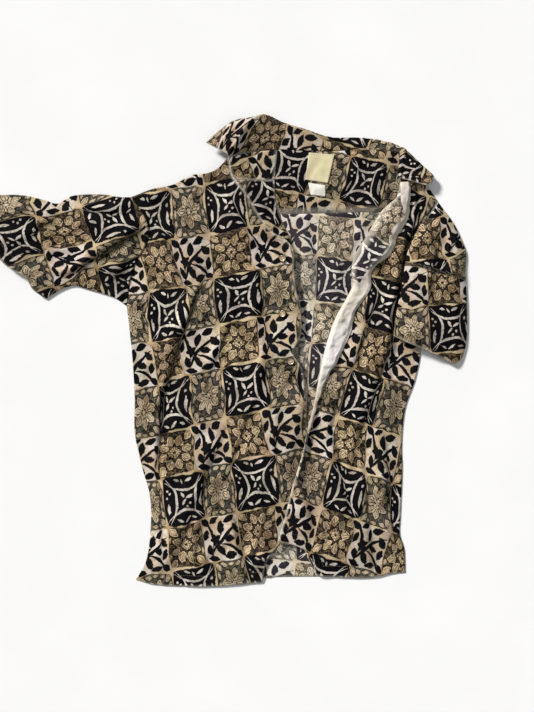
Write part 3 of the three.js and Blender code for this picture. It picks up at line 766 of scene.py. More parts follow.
def ring(tree, place, row):
    x, y, count, radius, half_length, half_width, turn = in_squares(row)
    own = add(tree, VECTOR, {0: place, 1: (x, y, 0)}, operation="SUBTRACT")
    away = add(tree, VECTOR, {0: own}, "Value", operation="LENGTH")
    own_x = add(tree, SPLIT, {0: own})
    angle = add(tree, MATH, {0: own_x.node.outputs[1], 1: own_x}, operation="ARCTAN2")
    leaves = {0: angle, 1: count / (2 * math.pi), 2: turn}
    leaf = add(tree, MATH, leaves, operation="MULTIPLY_ADD")
    leaf = add(tree, MATH, {0: leaf}, operation="FRACT")
    leaf = add(tree, MATH, {0: leaf, 1: 0.5}, operation="SUBTRACT")
    leaf = add(tree, MATH, {0: leaf}, operation="ABSOLUTE")
    across = add(tree, MATH, {0: leaf, 1: away}, operation="MULTIPLY")
    from_middle = {0: away, 1: 1 / half_length, 2: -radius / half_length}
    along = add(tree, MATH, from_middle, operation="MULTIPLY_ADD")
    squared = add(tree, MATH, {0: along, 1: along}, operation="MULTIPLY")
    narrow = 2 * math.pi / count / half_width
    return add(tree, MATH, {0: across, 1: narrow, 2: squared}, operation="MULTIPLY_ADD")


def union(tree, shapes, operation="MINIMUM"):
    whole = shapes[0]
    for shape in shapes[1:]:
        whole = add(tree, MATH, {0: whole, 1: shape}, operation=operation)
    return whole


longest = max(row[3] for square in SQUARES.values() for row in square["strokes"])
print("longest stroke:", 2 * longest / 1000, "squares")

# %% [markdown]
# ### Where a point lies in the repeat
#
# One repeat is two squares by two. Its fraction says where a point lies in it, and comparing that
# with the place of the line between two squares says in which square. The four squares aren't
# equally wide, so a point's place in its own square is worked out from its first and last edge.

# %% Find the square and the place in it
OUTSIDE = 9.0


def within(tree, place, second, split):
    """Where a place lies in its own square, 0 to 1, if the first square ends at split."""
    start = add(tree, MATH, {0: second, 1: split}, operation="MULTIPLY")
    rest = add(tree, MATH, {0: split, 1: -2.0, 2: 1.0}, operation="MULTIPLY_ADD")
    width = add(tree, MATH, {0: second, 1: rest, 2: split}, operation="MULTIPLY_ADD")
    place = add(tree, MATH, {0: place, 1: start}, operation="SUBTRACT")
    return add(tree, MATH, {0: place, 1: width}, operation="DIVIDE")


def find_square(tree, moved):
    """Right or not, upper or not, the place in the square, and 0 or 1 for outside each square."""
    per_square = (1 / (COLUMN * MM), 1 / (ROW * MM), 0)
    squares = add(tree, VECTOR, {0: moved, 1: per_square}, operation="MULTIPLY")
    halves = add(tree, VECTOR, {0: squares, 1: MIDDLE}, operation="MULTIPLY")
    repeat = add(tree, VECTOR, {0: halves}, operation="FRACTION")
    repeat_x = add(tree, SPLIT, {0: repeat})
    repeat_y = repeat_x.node.outputs[1]
    upper = add(tree, MATH, {0: repeat_y, 1: BLACK_TALL}, operation="GREATER_THAN")
    narrower = {0: upper, 1: 0.5 - BLACK_WIDE, 2: BLACK_WIDE}
    split = add(tree, MATH, narrower, operation="MULTIPLY_ADD")
    right = add(tree, MATH, {0: repeat_x, 1: split}, operation="GREATER_THAN")
    left = add(tree, MATH, {0: 1.0, 1: right}, operation="SUBTRACT")
    lower = add(tree, MATH, {0: 1.0, 1: upper}, operation="SUBTRACT")
    others = {
        "black": {0: right, 1: upper},
        "olive": {0: left, 1: upper},
        "brown": {0: right, 1: lower},
        "cream": {0: left, 1: lower},
    }
    outside = {name: add(tree, MATH, two, operation="MAXIMUM") for name, two in others.items()}
    own_x = within(tree, repeat_x, right, split)
    own_y = within(tree, repeat_y, upper, BLACK_TALL)
    own = add(tree, "ShaderNodeCombineXYZ", {0: own_x, 1: own_y})
    return right, upper, own, outside


def in_square(tree, shapes, outside):
    """The marks of one square, and far over 1 in the other squares."""
    whole = {0: outside, 1: OUTSIDE, 2: union(tree, shapes)}
    return add(tree, MATH, whole, operation="MULTIPLY_ADD")


def all_marks(tree, own, quarter, outside):
    """The marks of all four squares, and the cuts in them."""
    marks, cuts = [], []
    for name, square in SQUARES.items():
        shapes = [stroke(tree, own, row) for row in square["strokes"]]
        shapes += [stroke(tree, quarter, row) for row in square["fours"]]
        shapes += [ring(tree, own, row) for row in square["rings"]]
        marks.append(in_square(tree, shapes, outside[name]))
        if square["cuts"]:
            thin = [ring(tree, own, row) for row in square["cuts"]]
            cuts.append(in_square(tree, thin, outside[name]))
    return union(tree, marks), union(tree, cuts)


print("repeat:", 2 * COLUMN, "by", 2 * ROW, "mm")

# %% [markdown]
# ### Colours of the print
#
# Black ink, olive and brown dyes, and bare cream cloth are the four grounds. The noise that bends
# the lines has two sizes, a slow one for the hand and a quick one for the dry edge of the ink. The
# sand line between two squares is a few millimetres wide and spreads where lines cross. All of one
# repeat goes into a node group, so that three materials can use it.

# %% Choose the inks and dyes
INK = {"black": "#0b0a0d", "olive": "#464742", "brown": "#403930", "cream": "#ddd5cb"}
SHADE = {"black": "#131114", "olive": "#181918", "brown": "#191511", "cream": "#c3ad8f"}
MARK = {"black": "#ded7cc", "olive": "#d2c1a4", "brown": "#d6bf9c", "cream": "#0d0c0f"}
MARK_SHADE = {"black": "#b2aa9d", "olive": "#928267", "brown": "#978161", "cream": "#171518"}
SAND = "#a48b66"
SAND_LIGHT = "#cdbb98"


def by_square(tree, right, upper, colours):
    low = {FACTOR: right, FIRST: colours["black"], SECOND: colours["olive"]}
    high = {FACTOR: right, FIRST: colours["brown"], SECOND: colours["cream"]}
    low, high = (add(tree, MIX, row, MIXED, data_type="RGBA") for row in (low, high))
    return add(tree, MIX, {FACTOR: upper, FIRST: low, SECOND: high}, MIXED, data_type="RGBA")


print("grounds:", list(INK.values()))

# %% Draw the lines between squares
LINE_FROM, LINE_TO = 0.484, 0.497
CORNER_POWER = 7.0


def line_between(tree, quarter, rough, hand):
    """1 on the sand line along a square's edges, which is wider at its corners."""
    from_x = add(tree, SPLIT, {0: quarter})
    from_y = from_x.node.outputs[1]
    border = add(tree, MATH, {0: from_x, 1: from_y}, operation="MAXIMUM")
    corner = add(tree, MATH, {0: from_x, 1: from_y}, operation="MULTIPLY")
    corner = add(tree, MATH, {0: corner, 1: 4.0}, operation="MULTIPLY")
    corner = add(tree, MATH, {0: corner, 1: CORNER_POWER}, operation="POWER")
    border = add(tree, MATH, {0: corner, 1: 0.08, 2: border}, operation="MULTIPLY_ADD")
    border = add(tree, MATH, {0: rough, 1: 0.035, 2: border}, operation="MULTIPLY_ADD")
    waver = add(tree, MATH, {0: hand, 1: 0.14, 2: -0.07}, operation="MULTIPLY_ADD")
    border = add(tree, MATH, {0: border, 1: waver}, operation="ADD")
    return add(tree, RANGE, {0: border, 1: LINE_FROM, 2: LINE_TO}, interpolation_type=SOFT)


def near(tree, value, level, far, close):
    """1 where a value is close to a level, such as along the outline of a mark."""
    away = add(tree, MATH, {0: value, 1: level}, operation="SUBTRACT")
    away = add(tree, MATH, {0: away}, operation="ABSOLUTE")
    return add(tree, RANGE, {0: away, 1: far, 2: close}, interpolation_type=SOFT)


print("sand line:", round((0.5 - LINE_FROM) * 2 * COLUMN, 1), "mm wide")

# %% Build the print's node group
HAND_SIZE = 0.030
DRY_SIZE = 0.0042
SCRATCH_SIZE = 0.0085
OUTLINE = {"level": 1.14, "far": 0.20, "close": 0.10}
INNER_LINE = {"level": 0.52, "far": 0.09, "close": 0.04}


def build_print():
    tree = bpy.data.node_groups.new("block_print", "ShaderNodeTree")
    tree.interface.new_socket("Place", in_out="INPUT", socket_type="NodeSocketVector")
    tree.interface.new_socket("Colour", in_out="OUTPUT", socket_type="NodeSocketColor")
    place = tree.nodes.new("NodeGroupInput").outputs[0]
    hand = add(tree, NOISE, {"Vector": place, "Scale": 1 / HAND_SIZE, "Detail": 1.0})
    dry = add(tree, NOISE, {"Vector": place, "Scale": 1 / DRY_SIZE, "Detail": 2.0})
    slow = {0: hand.node.outputs[1], 1: (0.008, 0.008, 0), 2: place}
    moved = add(tree, VECTOR, slow, operation="MULTIPLY_ADD")
    quick = {0: dry.node.outputs[1], 1: (0.0022, 0.0022, 0), 2: moved}
    moved = add(tree, VECTOR, quick, operation="MULTIPLY_ADD")

    right, upper, own, outside = find_square(tree, moved)
    quarter = add(tree, VECTOR, {0: own, 1: MIDDLE}, operation="SUBTRACT")
    quarter = add(tree, VECTOR, {0: quarter}, operation="ABSOLUTE")
    mark, cut = all_marks(tree, own, quarter, outside)
    rough = add(tree, MATH, {0: dry, 1: 0.7, 2: -0.35}, operation="MULTIPLY_ADD")
    mark = add(tree, MATH, {0: mark, 1: rough}, operation="ADD")
    carved = add(tree, MATH, {0: outside["black"], 1: outside["cream"]}, operation="MULTIPLY")
    outline, inner = (near(tree, mark, **line) for line in (OUTLINE, INNER_LINE))
    mark = add(tree, RANGE, {0: mark, 1: 1.08, 2: 0.90}, interpolation_type=SOFT)
    cut = add(tree, RANGE, {0: cut, 1: 1.2, 2: 0.7}, interpolation_type=SOFT)
    cut = union(tree, [cut, outline, inner], operation="MAXIMUM")
    cut = add(tree, MATH, {0: cut, 1: carved}, operation="MULTIPLY")
    cells_of_ink = {"Vector": moved, "Scale": 1 / SCRATCH_SIZE}
    scratch = add(tree, "ShaderNodeTexVoronoi", cells_of_ink, feature="DISTANCE_TO_EDGE")
    scratch = add(tree, RANGE, {0: scratch, 1: 0.07, 2: 0.03}, interpolation_type=SOFT)
    scratch = add(tree, MATH, {0: scratch, 1: carved}, operation="MULTIPLY")
    scratch = add(tree, MATH, {0: scratch, 1: 0.45}, operation="MULTIPLY")
    line = line_between(tree, quarter, rough, hand)
    in_cream = add(tree, MATH, {0: 1.0, 1: outside["cream"]}, operation="SUBTRACT")
    inked = add(tree, MATH, {0: in_cream, 1: mark}, operation="MULTIPLY")
    line = add(tree, MATH, {0: line, 1: inked}, operation="SUBTRACT", use_clamp=True)

    shade = add(tree, MATH, {0: hand, 1: rough}, operation="ADD")
    shade = add(tree, RANGE, {0: shade, 1: 0.34, 2: 0.68}, interpolation_type=SOFT)
    light = add(tree, RANGE, {0: hand, 1: 0.42, 2: 0.6}, interpolation_type=SOFT)
    ground, dark_ground, ink, dark_ink = (
        by_square(tree, right, upper, colours) for colours in (INK, SHADE, MARK, MARK_SHADE)
    )
    ground = add(tree, MIX, {FACTOR: shade, FIRST: ground, SECOND: dark_ground}, MIXED,
                 data_type="RGBA")
    ink = add(tree, MIX, {FACTOR: shade, FIRST: ink, SECOND: dark_ink}, MIXED, data_type="RGBA")
    sand = add(tree, MIX, {FACTOR: light, FIRST: SAND, SECOND: SAND_LIGHT}, MIXED,
               data_type="RGBA")
    colour = ground
    for factor, layer in ((scratch, dark_ink), (mark, ink), (cut, dark_ground), (line, sand)):
        colour = add(tree, MIX, {FACTOR: factor, FIRST: colour, SECOND: layer}, MIXED,
                     data_type="RGBA")
    end = tree.nodes.new("NodeGroupOutput")
    tree.links.new(colour, end.inputs[0])
    print("nodes in the print:", len(tree.nodes))
    return tree


PRINT_GROUP = build_print()

# %% [markdown]
# ## The cloth's finish
#
# Plain-woven cotton is matt with a faint bloom, so it has high roughness, a weak sheen and a weave
# in its bump. Real threads are about 0.3 mm apart and too fine to show, so the weave is drawn at
# 0.9 mm. Ink lies on the face and only half soaks through, so the wrong side shows the same print
# paler and greyer. Where an edge is folded, wear has rubbed a light line along it.

# %% Weave the cotton
WEAVE = 0.0009
RUMPLE = 0.009
FULL_TURN = 2 * math.pi


def weave_bump(tree, place):
    scale = FULL_TURN / 20 / WEAVE
    wave = {"Vector": place, "Scale": scale, "Distortion": 1.2, "Detail": 1.0}
    warp, weft = (
        add(tree, "ShaderNodeTexWave", wave, 1, wave_type="BANDS", bands_direction=way)
        for way in "XY"
    )
    threads = add(tree, MATH, {0: warp, 1: weft}, operation="MULTIPLY")
    fine = add(tree, BUMP, {"Strength": 0.35, "Distance": 0.00015, "Height": threads})
    rumple = add(tree, NOISE, {"Vector": place, "Scale": 1 / RUMPLE, "Detail": 3.0})
    coarse = {"Strength": 0.55, "Distance": 0.0011, "Height": rumple, "Normal": fine}
    return add(tree, BUMP, coarse)


def new_material(name, **settings):
    """A Principled material. settings are its inputs, with _ in place of a space."""
    material = bpy.data.materials.new(name)
    material.use_nodes = True
    surface = material.node_tree.nodes["Principled BSDF"]
    for key, value in settings.items():
        surface.inputs[key.replace("_", " ")].default_value = value
    return material, material.node_tree, surface


print("weave:", WEAVE / MM, "mm, rumples:", RUMPLE / MM, "mm")

# %% Make the cottons
FADE = 0.11
DRIFT = 0.07
WARM = (1.01, 0.95, 0.965, 1)
COOL = (0.98, 0.975, 0.93, 1)
WORN_COTTON = "#d5cebf"


def cotton(name, colour_of):
    """colour_of(tree, place) gives the colour; place is in metres on the bolt."""
    material, tree, surface = new_material(
        name, Roughness=0.86, Specular_IOR_Level=0.06, Sheen_Weight=0.01, Sheen_Roughness=0.4
    )
    place = add(tree, "ShaderNodeUVMap", {}, uv_map="print")
    colour = colour_of(tree, place)
    drift = add(tree, NOISE, {"Vector": place, "Scale": 1 / DRIFT, "Detail": 2.0})
    drift = add(tree, RANGE, {0: drift, 1: 0.36, 2: 0.64}, interpolation_type=SOFT)
    tint = add(tree, MIX, {FACTOR: drift, FIRST: WARM, SECOND: COOL}, MIXED, data_type="RGBA")
    colour = add(tree, VECTOR, {0: colour, 1: tint}, operation="MULTIPLY")
    fade_and_painted_shade = add(tree, NOISE, {"Vector": place, "Scale": 1 / FADE, "Detail": 3.0})
    fade_and_painted_shade = add(tree, RANGE, {0: fade_and_painted_shade, 1: 0.3, 2: 0.7, 3: 0.68, 4: 1.02})
    # Painted shade: the colour is darkened where a value on the points says little light gets in.
    crevice = add(tree, ATTRIBUTE, {}, "Fac", attribute_name="crevice")
    open_to_light = add(tree, MATH, {0: crevice, 1: -0.72, 2: 1.0}, operation="MULTIPLY_ADD")
    fade_and_painted_shade = add(tree, MATH, {0: fade_and_painted_shade, 1: open_to_light}, operation="MULTIPLY")
    colour = add(tree, VECTOR, {0: colour, "Scale": fade_and_painted_shade}, operation="SCALE")
    worn = add(tree, ATTRIBUTE, {}, "Fac", attribute_name="worn")
    worn = add(tree, MATH, {0: worn, 1: 0.55}, operation="MULTIPLY")
    rubbed = {FACTOR: worn, FIRST: colour, SECOND: WORN_COTTON}
    colour = add(tree, MIX, rubbed, MIXED, data_type="RGBA")
    tree.links.new(colour, surface.inputs["Base Color"])
    tree.links.new(weave_bump(tree, place), surface.inputs["Normal"])
    return material


def printed(tree, place):
    return add(tree, "ShaderNodeGroup", {0: place}, node_tree=PRINT_GROUP)


def wrong_side(tree, place):
    """Only part of the ink soaks through: paler, with the blacks pulled down again."""
    soaked = add(tree, "ShaderNodeGamma", {0: printed(tree, place), 1: 0.55})
    greyer = {0: soaked, 1: (1.04, 1.04, 1.03), 2: (-0.018, -0.018, -0.018)}
    return add(tree, VECTOR, greyer, operation="MULTIPLY_ADD")


def facing_side(tree, place):
    """The wrong side, and the unprinted strip along the selvedge, which has painted shade in places.
    """
    bare = add(tree, ATTRIBUTE, {}, "Fac", attribute_name="selvedge")
    bare = add(tree, RANGE, {0: bare, 1: 0.35, 2: 0.65}, interpolation_type=SOFT)
    # Painted shade on the bare strip, read from a value on the points.
    aged = add(tree, ATTRIBUTE, {}, "Fac", attribute_name="aged")
    unprinted = {FACTOR: aged, FIRST: "#f1efeb", SECOND: "#b9af9a"}
    unprinted = add(tree, MIX, unprinted, MIXED, data_type="RGBA")
    both = {FACTOR: bare, FIRST: wrong_side(tree, place), SECOND: unprinted}
    return add(tree, MIX, both, MIXED, data_type="RGBA")


# Cotton, woven and block-printed: matt, with ink and dye on the side that shows on a worn shirt.
printed_cotton = cotton("block_printed_cotton", printed)
# The same cotton from its wrong side, where the print looks washed out.
cotton_wrong_side = cotton("block_printed_cotton_wrong_side", wrong_side)
# The same cotton along the edge of the bolt, where a bright strip was left unprinted; the strip has
# painted shade in places.
facing_cotton = cotton("cotton_facing_with_bare_selvedge", facing_side)
RIGHT_SIDE_UP = [printed_cotton, cotton_wrong_side]
print("cloths:", [m.name for m in (printed_cotton, cotton_wrong_side, facing_cotton)])

# %% [markdown]
# ### Button, thread, label and floor
#
# The buttons are polished horn-like polyester, cast in a swirl of tan and brown. Sewing thread is
# spun polyester with a slight gloss. The label and the tab are woven satin, whose long floats
# shine along one way, and both are bare.

# %% Make the polyester of the buttons and the thread
SWIRL = 0.007
TWIST = 0.0006


def horn_polyester():
    """A button's place from its axis, in mm, sets painted shade in the groove of its dish and
    darkens its rim, partly as painted shade.
    """
    material, tree, surface = new_material(
        "cast_horn_polyester", Roughness=0.22, IOR=1.54, Coat_Weight=0.25
    )
    place = add(tree, "ShaderNodeTexCoord", {}, "Object")
    cast = {"Vector": place, "Scale": 1 / SWIRL, "Detail": 2.0, "Distortion": 1.0}
    swirl = add(tree, NOISE, cast)
    swirl = add(tree, RANGE, {0: swirl, 1: 0.38, 2: 0.62}, interpolation_type=SOFT)
    tans = {FACTOR: swirl, FIRST: "#b0946a", SECOND: "#dcc69e"}
    colour = add(tree, MIX, tans, MIXED, data_type="RGBA")
    radius = add(tree, ATTRIBUTE, {}, "Fac", attribute_name="radius")
    # Painted shade in the groove at the foot of the dish.
    groove = near(tree, radius, 3.2, 0.6, 0.3)
    groove = add(tree, MATH, {0: groove, 1: 0.65}, operation="MULTIPLY")
    # A dark rim: partly the cast's own colour and partly painted shade round its edge.
    rim = add(tree, RANGE, {0: radius, 1: 4.65, 2: 5.0}, interpolation_type=SOFT)
    dark = add(tree, MATH, {0: groove, 1: rim}, operation="MAXIMUM")
    painted_shade_and_dark_rim = {FACTOR: dark, FIRST: colour, SECOND: "#2b1c10"}
    colour = add(tree, MIX, painted_shade_and_dark_rim, MIXED, data_type="RGBA")
    tree.links.new(colour, surface.inputs["Base Color"])
    return material


def spun_thread(name, colour, fibre_highlight):
    material, tree, surface = new_material(name, Roughness=0.55)
    place = add(tree, "ShaderNodeTexCoord", {}, "Object")
    twist = add(tree, NOISE, {"Vector": place, "Scale": 1 / TWIST, "Detail": 1.0})
    twist = add(tree, RANGE, {0: twist, 1: 0.35, 2: 0.65, 3: 0.0, 4: 0.25},
                interpolation_type=SOFT)
    # Painted highlight: noise mixes in a light fibre colour where fibres would catch the light.
    shade = add(tree, MIX, {FACTOR: twist, FIRST: colour, SECOND: fibre_highlight}, MIXED, data_type="RGBA")
    tree.links.new(shade, surface.inputs["Base Color"])
    return material


# Cast polyester, polished: small bright glints on tan swirls, a dark rim that is partly painted
# shade, and painted shade in the dish's groove.
horn = horn_polyester()
# Spun polyester: a dull thread, lighter where its fibres catch the light.
sewing_thread = spun_thread("spun_polyester_thread", "#8d8068", "#f0ead9")
print("polyesters:", horn.name, "and", sewing_thread.name)

# %% Make the satins and the floor
SATIN_WEAVE = 0.0008
SATIN_CLOUD = 0.012


def satin(name, colour, dark):
    material, tree, surface = new_material(
        name, Roughness=0.42, Anisotropic=0.4, Sheen_Weight=0.2
    )
    place = add(tree, "ShaderNodeUVMap", {}, uv_map="print")
    wave = {"Vector": place, "Scale": FULL_TURN / 20 / SATIN_WEAVE, "Distortion": 0.6}
    floats = add(tree, "ShaderNodeTexWave", wave, 1, wave_type="BANDS", bands_direction="X")
    cloud = add(tree, NOISE, {"Vector": place, "Scale": 1 / SATIN_CLOUD, "Detail": 2.0})
    cloud = add(tree, RANGE, {0: cloud, 1: 0.3, 2: 0.7, 3: 0.0, 4: 0.3})
    shade = add(tree, MIX, {FACTOR: cloud, FIRST: colour, SECOND: dark}, MIXED, data_type="RGBA")
    tree.links.new(shade, surface.inputs["Base Color"])
    bump = add(tree, BUMP, {"Strength": 0.3, "Distance": 0.00012, "Height": floats})
    tree.links.new(bump, surface.inputs["Normal"])
    return material


def painted_floor():
    material, tree, surface = new_material(
        "matt_white_floor_paint", Roughness=0.9, Specular_IOR_Level=0.2
    )
    place = add(tree, "ShaderNodeTexCoord", {}, "Object")
    grain = add(tree, NOISE, {"Vector": place, "Scale": 6.0, "Detail": 3.0})
    grain = add(tree, RANGE, {0: grain, 1: 0.3, 2: 0.7})
    whites = {FACTOR: grain, FIRST: "#f4f4f3", SECOND: "#f8f8f8"}
    shade = add(tree, MIX, whites, MIXED, data_type="RGBA")
    tree.links.new(shade, surface.inputs["Base Color"])
    return material


# Woven satin: a soft shine along the floats, yellow on the neck label and white on the tab.
label_satin = satin("woven_label_satin", "#d9cfa8", "#bfb286")
tab_satin = satin("woven_tab_satin", "#e9e6da", "#d3cfbf")

bm = bmesh.new()
bmesh.ops.create_grid(bm, x_segments=1, y_segments=1, size=6)
# Matt paint: a plain pale ground that takes soft shadows.
floor = mesh_piece("floor", bm, [painted_floor()])
print("floor:", floor.dimensions[:2])

# %% [markdown]
# ## Back and yoke
#
# The back is one panel from the hem to the yoke seam, and it lies with its right side down, so its
# wrong side shows through the open front. The yoke is two layers sewn back to back, so its inner
# layer shows its right side at the neck. Its seam with the back is lapped and topstitched. The
# collar and both fronts stand around it, so it is painted a little darker all over, as shade.

# %% Make the back and the yoke
CELL = 3.0
BACK_CELL = 4
# Painted shade over the whole yoke, from the collar and fronts around it.
NECK_SHADE = 0.2
YOKE_CLOTH = 0.6
SEAM_RIGHT, SEAM_LEFT = 228, 229
WORN_WIDTH = 2.6


def upto(rows, y, above=False, margin=8):
    """The part of an edge below a level, or above it, cut there."""
    points = rows[np.argsort(rows[:, 1]), :2]
    cut = (np.interp(y, points[:, 1], points[:, 0]), y)
    if above:
        return np.vstack([cut, points[points[:, 1] > y + margin]])
    return np.vstack([points[points[:, 1] < y - margin], cut])


def worn_edges(u, v, shape, sides):
    """1 on the named edges of a panel and 0 a few millimetres in from them."""
    away = {
        "left": u * shape.width,
        "right": (1 - u) * shape.width,
        "bottom": v * shape.height,
        "top": (1 - v) * shape.height,
    }
    nearest = np.min([away[side] for side in sides], axis=0)
    return np.clip(1 - nearest / WORN_WIDTH, 0, 1)


def panel_place(shape, height, print_map, worn, shade=lambda x, y: 0):
    """shade(x, y) is the painted shade beside other pieces, from 0 to 1."""
    def place(u, v):
        xy = shape(u, v)
        x, y = xy.T
        # Painted shade at the feet of folds and beside other pieces.
        crevice = np.maximum(foot_shade(print_map.folds, x, y), shade(x, y))
        values = {"worn": worn_edges(u, v, shape, worn), "crevice": crevice}
        return np.column_stack([xy, height(x, y)]), print_map(x, y), values

    return place


def cells(length, cell):
    return max(2, round(length / cell))


def grid_of(shape, cell=CELL):
    return cells(shape.width, cell), cells(shape.height, cell)


back_shape = patch(
    edge(HEM_BACK), edge(YOKE_SEAM),
    edge(SIDE_RIGHT, upto(ARMHOLE_RIGHT, SEAM_RIGHT)),
    edge(SIDE_LEFT, upto(ARMHOLE_LEFT, SEAM_LEFT)),
)
sheet(
    "back", "printed_cloth_inside", (0.49, 0.61), ["floor"], grid_of(back_shape, BACK_CELL),
    panel_place(back_shape, back_bottom, PRINT_BACK, ["bottom"]),
    [cotton_wrong_side, printed_cotton],
)


def yoke_bottom(x, y):
    lap = 0.35 * smooth((y - 228) / 1.5) * smooth((238 - y) / 4)
    return back_bottom(x, y) + 0.03 + lap


yoke_shape = patch(
    edge(YOKE_SEAM), edge(SHOULDER_RIGHT, NECK_BACK, SHOULDER_LEFT),
    edge(upto(ARMHOLE_RIGHT, SEAM_RIGHT, above=True)),
    edge(upto(ARMHOLE_LEFT, SEAM_LEFT, above=True)),
)
sheet(
    "yoke", "printed_cloth", (0.5, 0.105), ["back_cloth"], grid_of(yoke_shape),
    panel_place(yoke_shape, yoke_bottom, PRINT_YOKE, ["bottom"], lambda x, y: NECK_SHADE),
    [printed_cotton, printed_cotton], thickness=YOKE_CLOTH,
)

# %% [markdown]
# ## Fronts
#
# Each front runs from the shoulder to the hem. The right one's edge stands up near the neck, where
# the lapel rolls back. The left one laps over the right one near the hem. The cloth is painted
# darker where little light gets in: painted shadow under the buttons' rims and painted shade in the
# gap beside the left sleeve.

# %% Make the fronts
BUTTONS = [("button_1", 114, 152, 12), ("button_2", 114, 61, 40), ("button_3", 127, -17, 75)]
BUTTON_RADIUS = 6.0
FINE_CELL = 2.4


# Painted shadow on the cloth round each button's rim.
def shadow_under_buttons(x, y):
    shade = np.zeros_like(x)
    for _, button_x, button_y, _ in BUTTONS:
        past_rim = np.hypot(x - button_x, y - button_y) - BUTTON_RADIUS + 0.4
        shade = np.maximum(shade, np.exp(-((np.maximum(past_rim, 0) / 2.5) ** 2)))
    return shade


# Painted shade in the gap beside the left sleeve's inner fold.
def shade_beside_left_sleeve(x, y):
    from_sleeve = (at_y(INNER_FOLD_LEFT, y) - 1 - x) / 4.5
    return np.exp(-from_sleeve * from_sleeve) * smooth((y - 22) / 14) * smooth((228 - y) / 14)


front_right_shape = patch(
    edge(HEM_RIGHT), edge(SHOULDER_RIGHT), edge(SIDE_RIGHT, ARMHOLE_RIGHT), edge(EDGE_RIGHT[::-1])
)
sheet(
    "front_right", "printed_cloth", (0.29, 0.7), ["back_cloth", "yoke_cloth"],
    grid_of(front_right_shape, FINE_CELL),
    panel_place(front_right_shape, front_right_bottom, PRINT_FRONT_RIGHT, ["right", "bottom"],
                shadow_under_buttons),
    RIGHT_SIDE_UP,
)

front_left_shape = patch(
    edge(HEM_LEFT), edge(SHOULDER_LEFT), edge(EDGE_LEFT), edge(SIDE_LEFT, ARMHOLE_LEFT)
)
sheet(
    "front_left", "printed_cloth", (0.27, 0.7), ["back_cloth", "front_right_cloth", "yoke_cloth"],
    grid_of(front_left_shape),
    panel_place(front_left_shape, front_left_bottom, PRINT_FRONT_LEFT, ["left", "bottom"],
                shade_beside_left_sleeve),
    RIGHT_SIDE_UP,
)

# %% [markdown]
# ## Facings
#
# A facing is the part of a front that is turned to the inside. The right one lies inside the neck
# with its right side up. The left one has flopped outwards along its whole length, so that its
# wrong side and the bare selvedge of the cloth lie on the left front.

# %% Make the facings
FACING_CELL = 2
LAPEL_END = 184
facing_right_shape = patch(
    edge([(at_y(EDGE_RIGHT, LAPEL_END), LAPEL_END), (128, LAPEL_END)]),
    edge(FACING_RIGHT_NECK),
    edge(upto(EDGE_RIGHT, LAPEL_END, above=True)),
    edge(FACING_RIGHT_INNER[::-1]),
)


def facing_right_place(u, v):
    points, lies, values = panel_place(
        facing_right_shape, facing_right_bottom, PRINT_FACING_RIGHT, ["right", "left"]
    )(u, v)
    x, y = points[:, 0], points[:, 1]
    above = y > GORGE_SEAM
    lies[above] = PRINT_COLLAR_END(x[above], y[above])
    seam = np.clip(1 - np.abs(y - GORGE_SEAM - 1) / 2.2, 0, 1)
    values["worn"] = np.maximum(values["worn"], seam)
    return points, lies, values


sheet(
    "facing_right", "printed_cloth", (0.08, 0.15), ["yoke_cloth", "back_cloth"],
    grid_of(facing_right_shape, FACING_CELL), facing_right_place, RIGHT_SIDE_UP,
)

FACING_TOP = 277
FACING_END = -206
FACING_GAP = 0.9
FACING_CORNER = (301, 252), (307, FACING_TOP)


def facing_left_place(u, v):
    """Its long edge wavers, and it is crinkled, bare past a limit and painted greyer as shade, most
    low down.
    """
    x, y = facing_left_shape(u, v).T
    x = x + 2.2 * noise(y / 13, 0 * y, 55) * smooth(u * 2) * smooth((FACING_TOP - y) / 12)
    climb = smooth(u * facing_left_shape.width / 3.5)
    edges = smooth(u * 5) * smooth((1 - u) * 5)
    crinkle = 1.4 * np.abs(noise(x / 17, y / 15, 53)) + 0.9 * np.abs(noise(x / 9, y / 7, 54))
    own = (0.7 * crumple(x, y, 51, 60) + 2.2 * crinkle + 1.0) * edges
    z = front_left_bottom(x, y) + CLOTH + 0.05 + FACING_GAP * climb + own
    limit = np.where(y < BARE_BELOW, 0, at_y(SELVEDGE_PRINT_LIMIT, y))
    values = {
        "selvedge": smooth((x - limit) / 2 + 0.5) * smooth((y + 160) / 60),
        # Painted shade on the bare strip: greyer above the middle and most of all low down.
        "aged": np.maximum(0.55 * smooth((y - 20) / 50), smooth((-20 - y) / 80)),
        "worn": worn_edges(u, v, facing_left_shape, ["left", "right"]),
    }
    return np.column_stack([x, y, z]), PRINT_FACING_LEFT(x, y), values


facing_left_shape = patch(
    edge([(at_y(EDGE_LEFT, FACING_END), FACING_END), (138, FACING_END - 1)]),
    edge([(307, FACING_TOP), (322, FACING_TOP)]),
    edge(upto(EDGE_LEFT[EDGE_LEFT[:, 1] < FACING_TOP], FACING_END, above=True), FACING_CORNER),
    edge(SELVEDGE[::-1]),
)
sheet(
    "facing_left", "selvedge_cloth", (0.05, 0.54), ["front_left_cloth"],
    (cells(30, 1.2), cells(facing_left_shape.height, FACING_CELL)), facing_left_place,
    [facing_cotton, printed_cotton],
)

# %% [markdown]
# ## Sleeves
#
# A short sleeve is a tube. Laid down, it is two layers with a round fold at each side, open at the
# cuff. The grid goes once round the tube: its first column lies on one side fold, half way round
# is the other one, and then it comes back underneath. At the armhole the upper layer comes down to
# the front that it is sewn to.

# %% Make the sleeves
SLEEVE_HEIGHT = 7.5
SLEEVE_EDGE = 2.6
SLEEVE_WALLS = 1.2
SEAM_RUN = 30
LAID_RUN = 22
SLEEVE_CELL = 2.8
TUBE = {"offset": -1.0, "closed": True}


